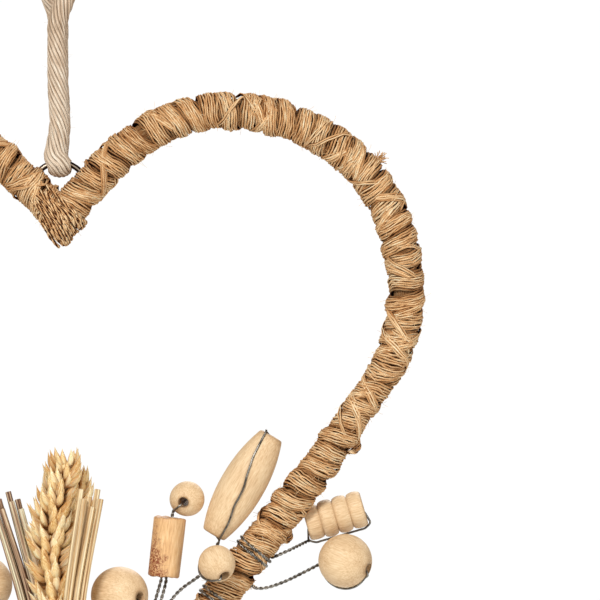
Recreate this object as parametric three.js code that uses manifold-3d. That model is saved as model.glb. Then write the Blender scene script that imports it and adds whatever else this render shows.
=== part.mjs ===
// A hanging heart: a frame wound with jute yarn, hung by a doubled cotton cord through a steel ring,
// with a bouquet of wheat ears and straws tied to its tip, and wooden beads on twisted wires that
// stand out of its lower half. Millimetres, +Z up, the front faces -Y.
// The origin is the point under the cord's knot that lies on the wall hook.
import * as THREE from "three";
import { mergeVertices } from "three/addons/utils/BufferGeometryUtils.js";
import Module from "manifold-3d";

const wasm = await Module();
wasm.setup();

// The gap kept between two pieces that touch.
const TOUCH_GAP = 0.35;

// The frame, measured on the centreline of its winding. Depths count down from the top of the lobes.
const LOBE_TOP_Z = -61.4;
const HEART_OFFSET_X = 0.8; // the heart hangs a little to the right of its cord
const HALF_WIDTH = 110;
const LOBE_X = 52.5;
const CLEFT_DEPTH = 34;
const WIDEST_DEPTH = 58;
const TIP_DEPTH = 221;
const STRAIGHT_LENGTH = 157; // of each side, up from the tip
const STRAIGHT_ANGLE = 37.5; // between a straight side and the upright
const CLEFT_ANGLE_RIGHT = 49.5; // how steeply each lobe leaves the cleft
const CLEFT_ANGLE_LEFT = 42;
const WRAP_RADIUS = 5.6;
const WRAP_BUMP = 0.3; // how far the turns of yarn stand out or lie in
const TURN_PITCH = 12;
const WRAP_SIDES = 8;
const MITRE_RUN = 17; // over which the winding's rings turn into the corner

// The steel ring in the cleft.
const RING_RADIUS = 8.9;
const RING_WIRE = 1.9;
const RING_ABOVE_CLEFT = 8.6;
const RING_STEPS = 24;
const RING_SIDES = 5;

// The doubled hanging cord.
const CORD_DIAMETER = 6;
const CORD_SIDES = 8;
const CORD_STEPS = 36;
const HOOK_ROOM = 6.4; // between the two legs of the cord, under the knot
const KNOT_SIZE = new THREE.Vector3(17, 11.5, 11.5);
const TAIL_LENGTH = 12;
const CORD_SOCKET = 1.4; // how far each leg goes into the knot

// The wires.
const STRAND_RADIUS = 0.3;
const TWIST_RADIUS = 0.55; // of a twisted pair
const WIRE_SIDES = 3;
const SOCKET_DEPTH = 2.6; // how far a wire's root goes into the winding
const TWIN_WIRE = TWIST_RADIUS + 0.15; // how far two wires in one bore lie from its axis
const COIL_TURNS = 2;
const COIL_PITCH = 2 * TWIST_RADIUS + 2 * TOUCH_GAP;
const LOOP_STEP = 2.7; // of the strand that loops round a bead
const COIL_STEPS_PER_TURN = 8;

// The beads.
const BORE_RADIUS = 1.7;
const BEAD_SEGMENTS = 8;
const SMALL_BEAD_RADIUS = 5.6;
const MIDDLE_BEAD_RADIUS = 5.9;
const ROUND_BEAD_RADIUS = 8.5;
const LARGE_BEAD_RADIUS = 9;
const BARREL_LENGTH = 36.5;
const BARREL_RADIUS = 7.5;
const BARREL_END_RADIUS = 4.1;
const TWIG_LENGTH = 18.2;
const TWIG_RADIUS = 5.05;
const RIBBED_LENGTH = 19.2;
const RIBBED_RADIUS = 6;
const RIBBED_GROOVE_RADIUS = 5;
const RIBBED_RIDGES = 4;

// Where each side's beads and their wires lie: along the frame up from the tip, how far out from the
// winding's surface (inwards if negative), and how far forward. The barrel and the large bead have
// their own places, and the other beads, the coils and the stems' bends keep their distance to them.
const BARREL_PLACE = { along: 115.7, reach: -10, forward: 3 };
const BARREL_ABOVE_COIL = 35.2;
const BARREL_BEND = { below: 25.2, reach: -4, forward: 3 };
const MIDDLE_BEAD = { below: 24.7, reach: -1.6, forward: 10.2 };
const MIDDLE_ABOVE_ROOT = 46.5;
const MIDDLE_BEND = { below: 49.7, reach: -9, forward: 9 };
const SMALL_BESIDE_TWIG = 6.5;
const SMALL_ABOVE_TWIG = 15.4;
const TWIG_ABOVE_ROOT = 29;
const SPARE_ROOT_BELOW = 5.5;
const RIBBED_BEYOND_BARREL = 9.4;
const RIBBED_PLACE = { along: BARREL_PLACE.along + RIBBED_BEYOND_BARREL, reach: 8.6, forward: -5.6 };
const RIBBED_ABOVE_COIL = 25.6;
const RIBBED_BEND = { below: 20.1, reach: 4, forward: 3 };
const ROUND_FROM_RIBBED = { below: 8.3, reach: 10.8, forward: 8.6 };
const ROUND_ABOVE_ROOT = 24.6;
const ROUND_BEND = { below: 25.1, reach: 9, forward: 2 };
const LARGE_ROOT_ALONG = 38;
const RIGHT_SHIFT = {
  barrel: 0, middle: 0, ribbed: 0, round: 0,
  twig: { below: 30.6, reach: -17, forward: 2 },
  large: { along: 63.9, reach: -19.5, forward: 7.5 },
};
const LEFT_SHIFT = {
  barrel: 6, middle: -8.5, ribbed: 2, round: -1.5,
  twig: { below: 24.2, reach: -15.8, forward: 4 },
  large: { along: 70.3, reach: -16.4, forward: -4 },
};

// The bouquet. Heights count up from the centreline of the tip.
const STRAW_RADIUS = 0.9;
const STRAW_PITCH = 2 * STRAW_RADIUS + TOUCH_GAP;
const STRAW_SIDES = 5;
const STRAW_STEPS = 6;
const STEM_STEPS = 10; // of an ear's stem
const STRAW_FOOT = -17; // where the straws are cut off, below the tip
const FOOT_FLARE = 1.5; // how far they lean forward there
const FOOT_SPREAD = 0.25; // and how much wider the bunch is there
const BUNCH_HEIGHT = 24; // where the straws begin to spread
const FAN_HEIGHT = 64.4;
const GRAIN_LENGTH = 14.5;
const GRAIN_RADIUS = 2.8;

// The binding round the tip and the straws.
const BINDING_LOW = -7;
const BINDING_HIGH = 1.5;
const BINDING_THICKNESS = 1.9;
const BINDING_SIDES = 20;

const WOOD = { color: 0xe6c99e, roughness: 0.55 };
const STEEL = { color: 0x6f6d6a, roughness: 0.35, metalness: 1 };
const COLOURS = {
  jute: { color: 0xb9966c, roughness: 0.95 },
  ring: { color: 0x2c2622, roughness: 0.4, metalness: 1 },
  cotton: { color: 0xd8c3a8, roughness: 0.95 },
  twig: { color: 0xdba96c, roughness: 0.7 },
  wheat: { color: 0xd9b273, roughness: 0.85 },
  straw: { color: 0xcfae7d, roughness: 0.8 },
  wood: WOOD,
  wire: STEEL,
};

const part = new THREE.Group();
const up = new THREE.Vector3(0, 0, 1);
const radians = THREE.MathUtils.degToRad;
const vec = (x, y, z) => new THREE.Vector3(x, y, z);

// A named mesh in the part, or in a group of it.
function addMesh(name, geometry, finish, parent = part) {
  const mesh = new THREE.Mesh(geometry, new THREE.MeshStandardMaterial(COLOURS[finish]));
  mesh.name = name;
  parent.add(mesh);
  return mesh;
}

// A closed geometry as a solid that can be joined and cut.
function solidOf(geometry) {
  const bare = geometry.clone();
  bare.deleteAttribute("normal");
  bare.deleteAttribute("uv");
  const merged = mergeVertices(bare, 1e-4);
  const vertProperties = merged.attributes.position.array;
  return new wasm.Manifold(
    new wasm.Mesh({ numProp: 3, vertProperties, triVerts: new Uint32Array(merged.index.array) }),
  );
}

function geometryOf(solid) {
  const mesh = solid.getMesh();
  const geometry = new THREE.BufferGeometry();
  geometry.setAttribute("position", new THREE.BufferAttribute(mesh.vertProperties, 3));
  geometry.setIndex(new THREE.BufferAttribute(mesh.triVerts, 1));
  geometry.computeVertexNormals();
  return geometry;
}

const joined = (solids) => solids.reduce((all, next) => all.add(next));

// A regular polygon, as the section of a wire, a straw or the cord.
function roundSection(radius, sides) {
  const corners = Array.from({ length: sides }, (_, i) => {
    const turn = (2 * Math.PI * i) / sides;
    return new THREE.Vector2(radius * Math.cos(turn), radius * Math.sin(turn));
  });
  return new THREE.Shape(corners);
}

// A capped tube along a smooth line through the points.
function tube(points, radius, sides, steps) {
  const extrudePath = new THREE.CatmullRomCurve3(points, false, "centripetal");
  return new THREE.ExtrudeGeometry(roundSection(radius, sides), { steps, extrudePath });
}

// A surface that closes on itself both ways, from rows of points.
function closedGrid(rows) {
  const columns = rows[0].length;
  const geometry = new THREE.BufferGeometry().setFromPoints(rows.flat());
  const index = [];
  rows.forEach((_, i) => {
    const next = (i + 1) % rows.length;
    for (let j = 0; j < columns; j++) {
      const beside = (j + 1) % columns;
      const [a, b, c, d] = [i, i, next, next].map((r, k) => r * columns + (k % 3 ? beside : j));
      index.push(a, c, b, a, d, c);
    }
  });
  geometry.setIndex(index);
  return geometry;
}

// The frame's centreline

const tip = vec(HEART_OFFSET_X, 0, LOBE_TOP_Z - TIP_DEPTH);
const sideLean = radians(STRAIGHT_ANGLE);

// Half of the heart, from the cleft to the tip, as x out from the axis and z down from the lobe's top.
function halfHeart(cleftAngle) {
  const rise = radians(cleftAngle);
  const straightTop = new THREE.Vector2(
    STRAIGHT_LENGTH * Math.sin(sideLean),
    STRAIGHT_LENGTH * Math.cos(sideLean) - TIP_DEPTH,
  );
  const leave = 0.38 * LOBE_X;
  const arrive = 0.48 * LOBE_X;
  const round = 0.58; // a little fuller than a circle's 0.55
  const lower = WIDEST_DEPTH + straightTop.y;
  const half = new THREE.Path();
  half.moveTo(0, -CLEFT_DEPTH);
  half.bezierCurveTo(
    leave * Math.cos(rise), leave * Math.sin(rise) - CLEFT_DEPTH,
    LOBE_X - arrive, 0,
    LOBE_X, 0,
  );
  half.bezierCurveTo(
    LOBE_X + round * (HALF_WIDTH - LOBE_X), 0,
    HALF_WIDTH, (round - 1) * WIDEST_DEPTH,
    HALF_WIDTH, -WIDEST_DEPTH,
  );
  half.bezierCurveTo(
    HALF_WIDTH, 0.42 * lower - WIDEST_DEPTH,
    straightTop.x - 0.34 * lower * Math.sin(sideLean), straightTop.y - 0.34 * lower * Math.cos(sideLean),
    straightTop.x, straightTop.y,
  );
  half.lineTo(0, -TIP_DEPTH);
  return half;
}

// A point of a straight side, given by its distance up from the tip, out from the centreline
// (away from the middle of the heart) and forward. side is 1 on the right and -1 on the left.
function sidePoint(side, along, out, forward) {
  const x = along * Math.sin(sideLean) + out * Math.cos(sideLean);
  const z = along * Math.cos(sideLean) - out * Math.sin(sideLean);
  return vec(tip.x + side * x, -forward, tip.z + z);
}

// The winding

// One ring of the winding. shear moves each corner along the frame, for the mitre.
function windingRing(centre, along, outward, radius, shear) {
  return Array.from({ length: WRAP_SIDES }, (_, j) => {
    const turn = (2 * Math.PI * j) / WRAP_SIDES;
    const out = radius * Math.cos(turn);
    const point = centre.clone().addScaledVector(outward, out).addScaledVector(along, out * shear);
    point.y += radius * Math.sin(turn);
    return point;
  });
}

// The rings of one side, from the cleft to the tip, both included.
function sideRings(side, cleftAngle) {
  const half = halfHeart(cleftAngle);
  const length = half.getLength();
  const count = 2 * Math.round(length / TURN_PITCH);
  const atCleft = Math.tan(radians((CLEFT_ANGLE_RIGHT + CLEFT_ANGLE_LEFT) / 2));
  const atTip = 1 / Math.tan(sideLean);
  return Array.from({ length: count + 1 }, (_, i) => {
    const share = i / count;
    const place = half.getPointAt(share);
    const heading = half.getTangentAt(share);
    const centre = vec(HEART_OFFSET_X + side * place.x, 0, LOBE_TOP_Z + place.y);
    const along = vec(side * heading.x, 0, heading.y);
    const outward = vec(-side * heading.y, 0, heading.x);
    const fromCleft = share * length;
    const fromTip = length - fromCleft;
    const nearCleft = Math.max(0, 1 - fromCleft / MITRE_RUN);
    const nearTip = Math.max(0, 1 - fromTip / MITRE_RUN);
    const lively = Math.min(1, Math.min(fromCleft, fromTip) / MITRE_RUN);
    const bump = (i % 2 ? 1 : -1) * WRAP_BUMP * (0.7 + 0.3 * Math.sin(1.7 * i + side));
    const radius = WRAP_RADIUS + lively * bump;
    return windingRing(centre, along, outward, radius, nearCleft * atCleft + nearTip * atTip);
  });
}

function windingSolid() {
  const right = sideRings(1, CLEFT_ANGLE_RIGHT);
  const left = sideRings(-1, CLEFT_ANGLE_LEFT);
  return solidOf(closedGrid([...right, ...left.slice(1, -1).reverse()]));
}

// The ring

const cleft = vec(HEART_OFFSET_X, 0, LOBE_TOP_Z - CLEFT_DEPTH);
const ringCentre = vec(0, 0, cleft.z + RING_ABOVE_CLEFT);

// The ring, or with grown the channel that it takes through the winding.
function ringGeometry(grown) {
  const ring = new THREE.TorusGeometry(RING_RADIUS, RING_WIRE / 2 + grown, RING_SIDES, RING_STEPS);
  return ring.rotateX(Math.PI / 2).translate(ringCentre.x, ringCentre.y, ringCentre.z);
}

// The cord

const cordRadius = CORD_DIAMETER / 2;
const ringInside = ringCentre.z + RING_RADIUS - RING_WIRE / 2;
const legSpacing = RING_WIRE / 2 + TOUCH_GAP + cordRadius; // from the middle, beside the ring
const hookSpacing = HOOK_ROOM / 2 + cordRadius;

// One leg, from the ring up to the knot. The front leg (side 1) comes out on the right.
function legPoints(side) {
  const turnStart = -35;
  const turnEnd = -12;
  const heights = [-74, -60, -46, turnStart, -30, -26, -22, -17, turnEnd, -7, -3];
  return heights.map((z) => {
    const turned = THREE.MathUtils.smoothstep(z, turnStart, turnEnd);
    const opened = THREE.MathUtils.smoothstep(z, -24, -4);
    const spacing = THREE.MathUtils.lerp(legSpacing, hookSpacing, opened);
    const angle = (Math.PI / 2) * (1 - turned);
    return vec(side * spacing * Math.cos(angle), -side * spacing * Math.sin(angle), z);
  });
}

// The bend of the cord under the ring, from the back leg to the front leg.
function bendPoints() {
  const lowest = ringInside - TOUCH_GAP - cordRadius;
  const centre = lowest + legSpacing;
  return [-80, -50, -20, 0, 20, 50, 80].map((degrees) => {
    const turn = radians(degrees);
    return vec(0, -legSpacing * Math.sin(turn), centre - legSpacing * Math.cos(turn));
  });
}

// The whole route, from the knot down the back leg, under the ring and up the front leg. The ends go
// into the knot by CORD_SOCKET, or further by the value of deeper.
function cordRoute(deeper = 0) {
  const knotEntry = (side) => vec(side * hookSpacing * 0.86, 0, CORD_SOCKET + deeper);
  return [
    knotEntry(-1), ...legPoints(-1).reverse(), ...bendPoints(), ...legPoints(1), knotEntry(1),
  ];
}

function knotSolid() {
  const body = new THREE.SphereGeometry(0.5, 10, 7);
  body.scale(KNOT_SIZE.x, KNOT_SIZE.y, KNOT_SIZE.z).translate(0, 0, KNOT_SIZE.z / 2);
  const tails = [-1, 1].map((side) => {
    const top = KNOT_SIZE.z - 1;
    const points = [
      vec(side * 2.2, 0, top - 4),
      vec(side * 3.2, -side, top + 1),
      vec(side * 5, -1.5 * side, top + TAIL_LENGTH / 2),
      vec(side * 6, -1.5 * side, top + TAIL_LENGTH),
    ];
    return solidOf(tube(points, cordRadius * 0.8, 6, 4));
  });
  const route = cordRoute(TOUCH_GAP);
  const socket = solidOf(tube(route, cordRadius + TOUCH_GAP, CORD_SIDES, 2 * CORD_STEPS));
  return joined([solidOf(body), ...tails]).subtract(socket);
}

// The beads. A bead's profile gives its outside radius at a place along its axis, from -1 to 1.

const ballProfile = (radius) => ({
  half: Math.sqrt(radius ** 2 - BORE_RADIUS ** 2),
  at(share) {
    return Math.sqrt(radius ** 2 - (share * this.half) ** 2);
  },
  steps: 6,
});

const barrelProfile = {
  half: BARREL_LENGTH / 2,
  at: (share) => BARREL_RADIUS - (BARREL_RADIUS - BARREL_END_RADIUS) * share ** 2,
  steps: 7,
};

const twigProfile = {
  half: TWIG_LENGTH / 2,
  at: (share) => TWIG_RADIUS * (Math.abs(share) > 0.97 ? 0.94 : 1),
  steps: 4,
};

const ribbedProfile = {
  half: RIBBED_LENGTH / 2,
  at(share) {
    const phase = ((share + 1) / 2) * RIBBED_RIDGES * Math.PI;
    const swell = Math.abs(Math.sin(phase)) ** 0.6;
    return RIBBED_GROOVE_RADIUS + (RIBBED_RADIUS - RIBBED_GROOVE_RADIUS) * swell;
  },
  widest: () => RIBBED_RADIUS,
  steps: 2 * RIBBED_RIDGES,
};

// A turned bead along its own Y axis, with its bore.
function beadGeometry(profile) {
  const outside = Array.from({ length: profile.steps + 1 }, (_, i) => {
    const even = (2 * i) / profile.steps - 1;
    const share = profile.steps === 6 ? Math.sin((even * Math.PI) / 2) : even;
    return new THREE.Vector2(profile.at(share), share * profile.half);
  });
  const bore = [1, -1].map((end) => new THREE.Vector2(BORE_RADIUS, end * profile.half));
  const ends = profile.steps === 6 ? outside.slice(1, -1) : outside;
  return new THREE.LatheGeometry([bore[1], ...ends, bore[0], bore[1]], BEAD_SEGMENTS);
}

function addBead(name, profile, finish, centre, axis) {
  const mesh = addMesh(name, beadGeometry(profile), finish);
  mesh.position.copy(centre);
  mesh.quaternion.setFromUnitVectors(vec(0, 1, 0), axis);
  return { profile, centre, axis };
}

// The wires

// The closed loop of one strand through a bead's bore and back over its outside. The strand lies on
// the side of the bead that faces towards, and the twisted stem joins it at the point given by angle,
// in degrees from the bead's axis.
function beadLoop(bead, towards, angle) {
  const { profile, centre, axis } = bead;
  const beside = towards.clone().addScaledVector(axis, -towards.dot(axis)).normalize();
  const clear = STRAND_RADIUS + TOUCH_GAP;
  const at = (along, out) =>
    centre.clone().addScaledVector(axis, along).addScaledVector(beside, out);
  const reach = profile.widest ?? profile.at;
  const end = profile.half + TWIST_RADIUS + TOUCH_GAP;
  const over = [1, 0.72, 0.36, 0, -0.36, -0.72, -1].map((share) =>
    at(share * end, reach.call(profile, share) + clear),
  );
  const through = [-1, -0.5, 0.5, 1].map((share) => at(share * end, 0));
  const curve = new THREE.CatmullRomCurve3([...through, ...over], true, "centripetal");
  const steps = Math.round(curve.getLength() / LOOP_STEP);
  const loop = new THREE.TubeGeometry(curve, steps, STRAND_RADIUS, WIRE_SIDES, true);
  const wanted = radians(angle);
  const direction = axis.clone().multiplyScalar(Math.cos(wanted)).addScaledVector(beside, Math.sin(wanted));
  const score = (point) => point.clone().sub(centre).normalize().dot(direction);
  const corners = curve.getSpacedPoints(steps);
  return { loop, joint: corners.reduce((best, point) => (score(point) > score(best) ? point : best)) };
}

// A coil of wire round the winding of one side. It starts and ends beside the frame: on its outer
// side if out is 1, and on its inner side if out is -1.
function coilPoints(side, along, out) {
  const inside = WRAP_RADIUS + WRAP_BUMP + TOUCH_GAP;
  const radius = (inside + TWIST_RADIUS) / Math.cos(Math.PI / COIL_STEPS_PER_TURN);
  return Array.from({ length: COIL_TURNS * COIL_STEPS_PER_TURN + 1 }, (_, i) => {
    const turn = (2 * Math.PI * i) / COIL_STEPS_PER_TURN;
    const climb = along + (COIL_PITCH * i) / COIL_STEPS_PER_TURN;
    return sidePoint(side, climb, out * radius * Math.cos(turn), radius * Math.sin(turn));
  });
}

// The sockets that the wires' roots take in the winding.
const sockets = [];

// Where a wire goes into the winding: its inner end and a point as far outside.
function rootPoints(side, along, out, forward) {
  const direction = new THREE.Vector2(out, forward).normalize();
  const at = (reach) => sidePoint(side, along, reach * direction.x, reach * direction.y);
  const room = [at(WRAP_RADIUS - SOCKET_DEPTH - TOUCH_GAP), at(WRAP_RADIUS + SOCKET_DEPTH)];
  sockets.push(solidOf(tube(room, TWIST_RADIUS + 2 * TOUCH_GAP, 4, 1)));
  return [at(WRAP_RADIUS - SOCKET_DEPTH), at(WRAP_RADIUS + SOCKET_DEPTH)];
}

// A wire: its stem up to the joint, and the loop that holds its bead.
function addWire(name, stemPoints, bead, steps) {
  const stem = tube([...stemPoints, bead.joint], TWIST_RADIUS, WIRE_SIDES, steps);
  addMesh(name, geometryOf(joined([solidOf(stem), solidOf(bead.loop)])), "wire");
}

// The beads and wires of one side. side is 1 on the right and -1 on the left, and shift moves beads
// along the frame from their places, so that the two sides aren't alike.
function addSide(side, word, shift) {
  const place = ({ along, reach, forward }) =>
    sidePoint(side, along, reach + Math.sign(reach) * WRAP_RADIUS, forward);
  const below = ({ along }, from, up) => ({ ...from, along: along - from.below + up });
  const aim = (x, y, z) => vec(side * x, y, z).normalize();
  const name = (what) => `${what}_${word}`;
  const front = vec(0, -1, 0);
  const under = vec(0, 0, -1);

  const barrel = addBead(name("barrel_bead"), barrelProfile, "wood",
    place({ ...BARREL_PLACE, along: BARREL_PLACE.along + shift.barrel }), aim(0.505, 0, 0.863));
  const barrelCoil = coilPoints(side, BARREL_PLACE.along - BARREL_ABOVE_COIL + shift.barrel, -1);
  const barrelStem = [...barrelCoil, place(below(BARREL_PLACE, BARREL_BEND, shift.barrel))];
  addWire(name("barrel_wire"), barrelStem, beadLoop(barrel, front, 180), 24);

  const twigPlace = below(BARREL_PLACE, shift.twig, 0);
  const twig = addBead(name("twig_bead"), twigProfile, "twig", place(twigPlace), aim(0.1, 0, 0.995));
  const inTwig = (share, beside) =>
    twig.centre.clone().addScaledVector(twig.axis, share * twig.profile.half).add(vec(side * beside, 0, 0));
  const smallCentre = twig.centre.clone().add(vec(side * SMALL_BESIDE_TWIG, 0, SMALL_ABOVE_TWIG));
  const small = addBead(name("small_bead"), ballProfile(SMALL_BEAD_RADIUS), "wood",
    smallCentre, aim(-0.21, -0.96, -0.19));
  const smallStem = [
    ...rootPoints(side, twigPlace.along - TWIG_ABOVE_ROOT, -1, 0.3),
    inTwig(-1.3, TWIN_WIRE), inTwig(-0.9, TWIN_WIRE), inTwig(0.9, TWIN_WIRE),
  ];
  addWire(name("small_wire"), smallStem, beadLoop(small, aim(-0.75, 0, -0.66), 90), 13);
  const spareStem = [
    ...rootPoints(side, twigPlace.along - TWIG_ABOVE_ROOT - SPARE_ROOT_BELOW, -1, 0.2),
    inTwig(-1.5, -2 * TWIN_WIRE), inTwig(-1, -TWIN_WIRE), inTwig(-0.3, -TWIN_WIRE),
  ];
  addMesh(name("twig_wire"), tube(spareStem, TWIST_RADIUS, WIRE_SIDES, 8), "wire");

  const middle = addBead(name("middle_bead"), ballProfile(MIDDLE_BEAD_RADIUS), "wood",
    place(below(BARREL_PLACE, MIDDLE_BEAD, shift.middle)), aim(0.43, -0.62, -0.65));
  const middleRoot = rootPoints(side, BARREL_PLACE.along - MIDDLE_BEAD.below - MIDDLE_ABOVE_ROOT, -1, 0.6);
  const middleStem = [...middleRoot, place(below(BARREL_PLACE, MIDDLE_BEND, 0))];
  addWire(name("middle_wire"), middleStem, beadLoop(middle, aim(-0.82, 0, -0.57), 90), 8);

  const ribbed = addBead(name("ribbed_bead"), ribbedProfile, "wood",
    place({ ...RIBBED_PLACE, along: RIBBED_PLACE.along + shift.ribbed }), aim(0.96, 0, 0.277));
  const ribbedCoil = coilPoints(side, RIBBED_PLACE.along - RIBBED_ABOVE_COIL + shift.ribbed, 1);
  const ribbedStem = [...ribbedCoil, place(below(RIBBED_PLACE, RIBBED_BEND, shift.ribbed))];
  addWire(name("ribbed_wire"), ribbedStem, beadLoop(ribbed, under, 150), 24);

  const roundPlace = {
    along: RIBBED_PLACE.along - ROUND_FROM_RIBBED.below + shift.round,
    reach: RIBBED_PLACE.reach + ROUND_FROM_RIBBED.reach,
    forward: RIBBED_PLACE.forward + ROUND_FROM_RIBBED.forward,
  };
  const round = addBead(name("round_bead"), ballProfile(ROUND_BEAD_RADIUS), "wood",
    place(roundPlace), aim(0.87, -0.4, -0.28));
  const roundRoot = rootPoints(side, roundPlace.along - ROUND_ABOVE_ROOT, 1, 0.2);
  const roundStem = [...roundRoot, place(below(RIBBED_PLACE, ROUND_BEND, shift.round))];
  addWire(name("round_wire"), roundStem, beadLoop(round, under, 155), 7);

  const large = addBead(name("large_bead"), ballProfile(LARGE_BEAD_RADIUS), "wood",
    place(shift.large), aim(0.75, -0.66, -0.04));
  const largeRoot = rootPoints(side, LARGE_ROOT_ALONG, -1, 0.4);
  addWire(name("large_wire"), largeRoot, beadLoop(large, under, 90), 7);
}

// The bouquet

const rowForward = (row) => WRAP_RADIUS + WRAP_BUMP + TOUCH_GAP + STRAW_RADIUS + row * STRAW_PITCH;

// A straw from its foot below the tip, through its place in the bunch, to its cut end in the fan.
function strawPoints(row, column, middle, end) {
  const forward = rowForward(row);
  const x = column * STRAW_PITCH;
  return [
    vec(tip.x + (1 + FOOT_SPREAD) * x, -forward - FOOT_FLARE, tip.z + STRAW_FOOT),
    vec(tip.x + x, -forward, tip.z),
    vec(tip.x + x, -forward, tip.z + BUNCH_HEIGHT),
    vec(tip.x + middle.x, -middle.forward, tip.z + FAN_HEIGHT),
    vec(tip.x + end.x, -end.forward, tip.z + end.height),
  ];
}

// Each fan's straws from left to right: how many straws aside the bunch is, where the first one is,
// how far apart they are at the fan's middle and cut ends, and how far forward they lie there.
const LEFT_FAN = {
  word: "left", rows: [0, 1], columns: 4, aside: 0, forward: 1.4,
  middleX: -13.2, middlePitch: 1.1 * STRAW_PITCH, topX: -23.2, topPitch: 1.4 * STRAW_PITCH, height: 99,
};
const RIGHT_FAN = {
  word: "right", rows: [3, 4], columns: 3, aside: 0.7, forward: 19.1,
  middleX: 2.2, middlePitch: 1.02 * STRAW_PITCH, topX: 6.4, topPitch: 1.06 * STRAW_PITCH, height: 100.5,
};

function addFan(fan) {
  const straws = [];
  fan.rows.forEach((row, r) => {
    for (let i = 0; i < fan.columns; i++) {
      const forward = fan.forward + r * STRAW_PITCH;
      const shift = i + 0.4 * r;
      const middle = { x: fan.middleX + shift * fan.middlePitch, forward };
      const height = fan.height - 2.4 * (i % 2) - 3 * r;
      const end = { x: fan.topX + shift * fan.topPitch, forward, height };
      const points = strawPoints(row, i - (fan.columns - 1) / 2 + fan.aside, middle, end);
      straws.push(points);
      const name = `straw_${fan.word}_${straws.length}`;
      addMesh(name, tube(points, STRAW_RADIUS, STRAW_SIDES, STRAW_STEPS), "straw");
    }
  });
}

// A grain with its husk: a slim double cone from its foot.
function grainSolid(foot, direction, length, radius, grown) {
  const profile = [
    new THREE.Vector2(0, -2 * grown),
    new THREE.Vector2(radius + 1.3 * grown, 0.42 * length),
    new THREE.Vector2(0, length + 2 * grown),
  ];
  const grain = new THREE.LatheGeometry(profile, 4);
  const turn = new THREE.Quaternion().setFromUnitVectors(vec(0, 1, 0), direction);
  grain.applyQuaternion(turn).translate(foot.x, foot.y, foot.z);
  return solidOf(grain);
}

// A wheat ear on its stem. The grains sit in rows to the left, to the right, in front and behind.
// grown is how much fatter everything is, for the room that the next ear leaves.
function earSolid(ear, grown) {
  const base = vec(tip.x + ear.baseX, -ear.forward, tip.z + ear.base);
  const top = vec(tip.x + ear.topX, -ear.topForward, tip.z + ear.base + ear.length);
  const middle = base.clone().lerp(top, 0.6).add(vec(ear.bow, 0, 0));
  const spine = new THREE.CatmullRomCurve3([base, middle, top]);
  const bunchForward = rowForward(2);
  const x = ear.column * STRAW_PITCH;
  const foot = [
    vec(tip.x + (1 + FOOT_SPREAD) * x, -bunchForward - FOOT_FLARE, tip.z + STRAW_FOOT),
    vec(tip.x + x, -bunchForward, tip.z),
    vec(tip.x + x, -bunchForward, tip.z + BUNCH_HEIGHT),
  ];
  const behind = ear.behind.map(([sideX, forward, height]) =>
    vec(tip.x + sideX, -forward, tip.z + BUNCH_HEIGHT + height),
  );
  const stemPoints = [...foot, ...behind, base, middle, spine.getPointAt(0.9)];
  const stem = tube(stemPoints, STRAW_RADIUS + grown, STRAW_SIDES, STEM_STEPS);
  const grains = [];
  for (let level = 0; level < ear.levels; level++) {
    const share = (0.94 * level) / ear.levels;
    const at = spine.getPointAt(share);
    const heading = spine.getTangentAt(share);
    const size = 0.82 + 0.3 * Math.sin(Math.PI * (0.15 + 0.8 * share));
    const sideways = level % 2 ? 0.35 : -0.35;
    const directions = [vec(-1, -0.3, 0), vec(1, -0.3, 0), vec(sideways, level % 2 ? 1 : -1, 0)];
    directions.forEach((outward, k) => {
      const lean = radians(ear.lean * (k < 2 ? 1 : 0.7));
      const direction = heading.clone().multiplyScalar(Math.cos(lean))
        .addScaledVector(outward.normalize(), Math.sin(lean)).normalize();
      grains.push(grainSolid(at, direction, size * GRAIN_LENGTH, size * GRAIN_RADIUS, grown));
    });
  }
  return joined([solidOf(stem), ...grains]);
}

// behind lists places that a stem passes on its way: to the right, forward and above the bunch.
const FRONT_EAR = {
  column: -0.5, base: 38, length: 75, levels: 6, lean: 27, behind: [],
  baseX: -0.2, topX: 1.8, bow: -4.4, forward: 11.4, topForward: 10.5,
};
const BACK_EAR = {
  column: 1.9, base: 74, length: 38, levels: 3, lean: 21, behind: [[5.8, 7.6, 13], [5.4, 3.6, 29]],
  baseX: 3.4, topX: 5.8, bow: 0.6, forward: 4.2, topForward: 4.4,
};

// The binding

// The outline of a turn pulled tight round the circles, each {x, forward, radius}, grown by a margin.
function tightTurn(circles, margin, height) {
  return Array.from({ length: BINDING_SIDES }, (_, i) => {
    const turn = (2 * Math.PI * i) / BINDING_SIDES;
    const [dx, dy] = [Math.cos(turn), Math.sin(turn)];
    const reach = (c) => c.x * dx - c.forward * dy + c.radius;
    const held = circles.reduce((best, c) => (reach(c) > reach(best) ? c : best));
    const radius = held.radius + margin;
    return vec(tip.x + held.x + radius * dx, -held.forward + radius * dy, height);
  });
}

// What the binding holds at a height above the tip's centreline: the winding and the straws.
function boundCircles(height) {
  const outerTip = -WRAP_RADIUS / Math.sin(sideLean);
  const halfWidth = (height - outerTip) * Math.tan(sideLean);
  const wrap = WRAP_RADIUS + WRAP_BUMP;
  const spread = (columns) => (1 + FOOT_SPREAD / 2) * ((columns - 1) / 2) * STRAW_PITCH;
  return [-1, 1].flatMap((side) => [
    { x: side * Math.max(0, halfWidth - 0.6 * WRAP_RADIUS), forward: 0, radius: wrap },
    { x: side * spread(LEFT_FAN.columns), forward: rowForward(0), radius: STRAW_RADIUS },
    { x: side * spread(2 * BACK_EAR.column + 1), forward: rowForward(2) + FOOT_FLARE / 2, radius: STRAW_RADIUS },
    { x: side * spread(RIGHT_FAN.columns + 2 * RIGHT_FAN.aside), forward: rowForward(4) + FOOT_FLARE / 2, radius: STRAW_RADIUS },
  ]);
}

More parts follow.
